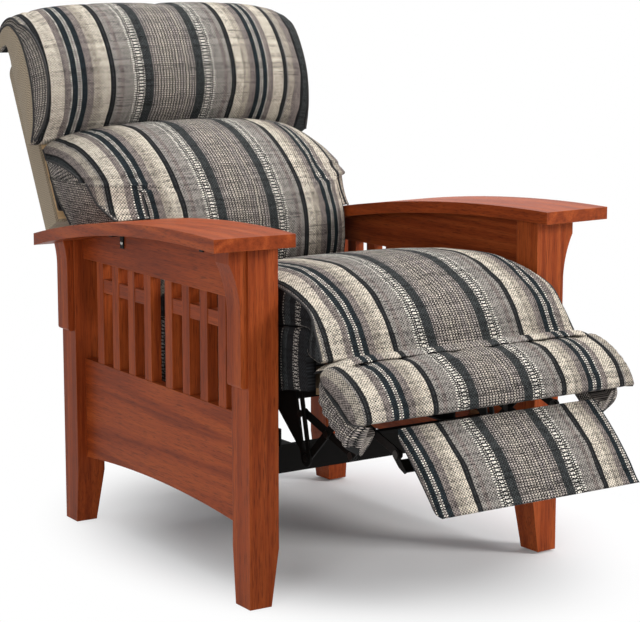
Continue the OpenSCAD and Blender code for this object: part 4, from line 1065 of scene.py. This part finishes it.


# A pale matt floor that turns to the white of the background far from the chair, by an ellipse about its middle:
# outside it the floor glows white, painted light that covers the lamps' shadow there; inside it is diffuse with a small
# even glow.
def paleFloor(look):
    mat = newMaterial("paleFloor")
    g = Graph(mat)
    diffuse = g.add("ShaderNodeBsdfDiffuse")
    diffuse.inputs["Color"].default_value = rgba(look["floor"])
    seen = seenOrMirrored(g)
    both = g.add("ShaderNodeAddShader")
    g.link(diffuse.outputs[0], both.inputs[0])
    g.link(glow(g, "ShaderNodeEmission", (1, 1, 1), g.times(seen, look["lift"])), both.inputs[1])
    reach = g.add("ShaderNodeVectorMath", operation="LENGTH")
    (x, y), narrower = look["middle"], look["narrower"]
    g.link(g.mapping(g.coordinates(), place=(-x * narrower, -y, 0), scale=(narrower, 1, 1)), reach.inputs[0])
    away = g.add("ShaderNodeMapRange", interpolation_type="SMOOTHSTEP")
    g.link(reach.outputs["Value"], away.inputs["Value"])
    away.inputs["From Min"].default_value = look["clearFrom"]
    away.inputs["From Max"].default_value = look["clearTo"]
    # painted light: the white glow that covers the lamps' shadow outside the ellipse
    clear = glow(g, "ShaderNodeEmission", (1, 1, 1), 1.0)
    out = g.add("ShaderNodeOutputMaterial")
    g.link(join(g, g.times(away.outputs[0], seen), both.outputs[0], clear), out.inputs["Surface"])
    mesh, half = bpy.data.meshes.new("floor"), look["half"]
    mesh.from_pydata([(-half, -half, 0), (half, -half, 0), (half, half, 0), (-half, half, 0)], [], [(0, 1, 2, 3)])
    mesh.materials.append(mat)
    inScene("floor", mesh)


# White where the camera looks, soft even light elsewhere.
def studio(look):
    world = bpy.data.worlds.new("studio")
    bpy.context.scene.world = world
    world.use_nodes = True
    world.node_tree.nodes.clear()
    g = Graph(world)
    soft = glow(g, "ShaderNodeBackground", look["worldTint"], look["worldLight"])
    white = glow(g, "ShaderNodeBackground", (1, 1, 1), 1.0)
    out = g.add("ShaderNodeOutputWorld")
    g.link(join(g, seenOrMirrored(g), soft, white), out.inputs["Surface"])


paleFloor(stageLook)
studio(stageLook)


def areaLight(name, at, aim, size, power, colour=(1, 1, 1)):
    data = bpy.data.lights.new(name, "AREA")
    data.shape = "RECTANGLE"
    data.size, data.size_y = size
    data.energy = power
    data.color = colour
    lamp = bpy.data.objects.new(name, data)
    lamp.location = at
    lamp.rotation_euler = (Vector(aim) - Vector(at)).to_track_quat("-Z", "Y").to_euler()
    bpy.context.scene.collection.objects.link(lamp)


areaLight("keyRight", (2.9, -3.4, 2.2), (0, 0, 0.4), (1.3, 1.3), 150, (1.0, 0.98, 0.95))
areaLight("overhead", (0.2, 0.2, 3.4), (0, 0, 0.2), (2.8, 2.8), 125)
areaLight("fillLeft", (-3.2, -2.6, 1.5), (0, 0, 0.5), (1.8, 1.8), 62)

camera = {"lens": 113.175, "sensor": 36, "azimuth": -33.87, "elevation": 9.48, "at": (-2.0537, -3.0814, 1.0602)}
camData = bpy.data.cameras.new("photoCamera")
camData.sensor_width = camera["sensor"]
camData.lens = camera["lens"]
cam = bpy.data.objects.new("photoCamera", camData)
bpy.context.scene.collection.objects.link(cam)
az, el = math.radians(camera["azimuth"]), math.radians(camera["elevation"])
backward = Vector((math.sin(az) * math.cos(el), -math.cos(az) * math.cos(el), math.sin(el)))
cam.location = camera["at"]
cam.rotation_euler = (-backward).to_track_quat("-Z", "Y").to_euler()
bpy.context.scene.camera = cam
bpy.context.scene.view_settings.view_transform = "Standard"

print("scene ready")
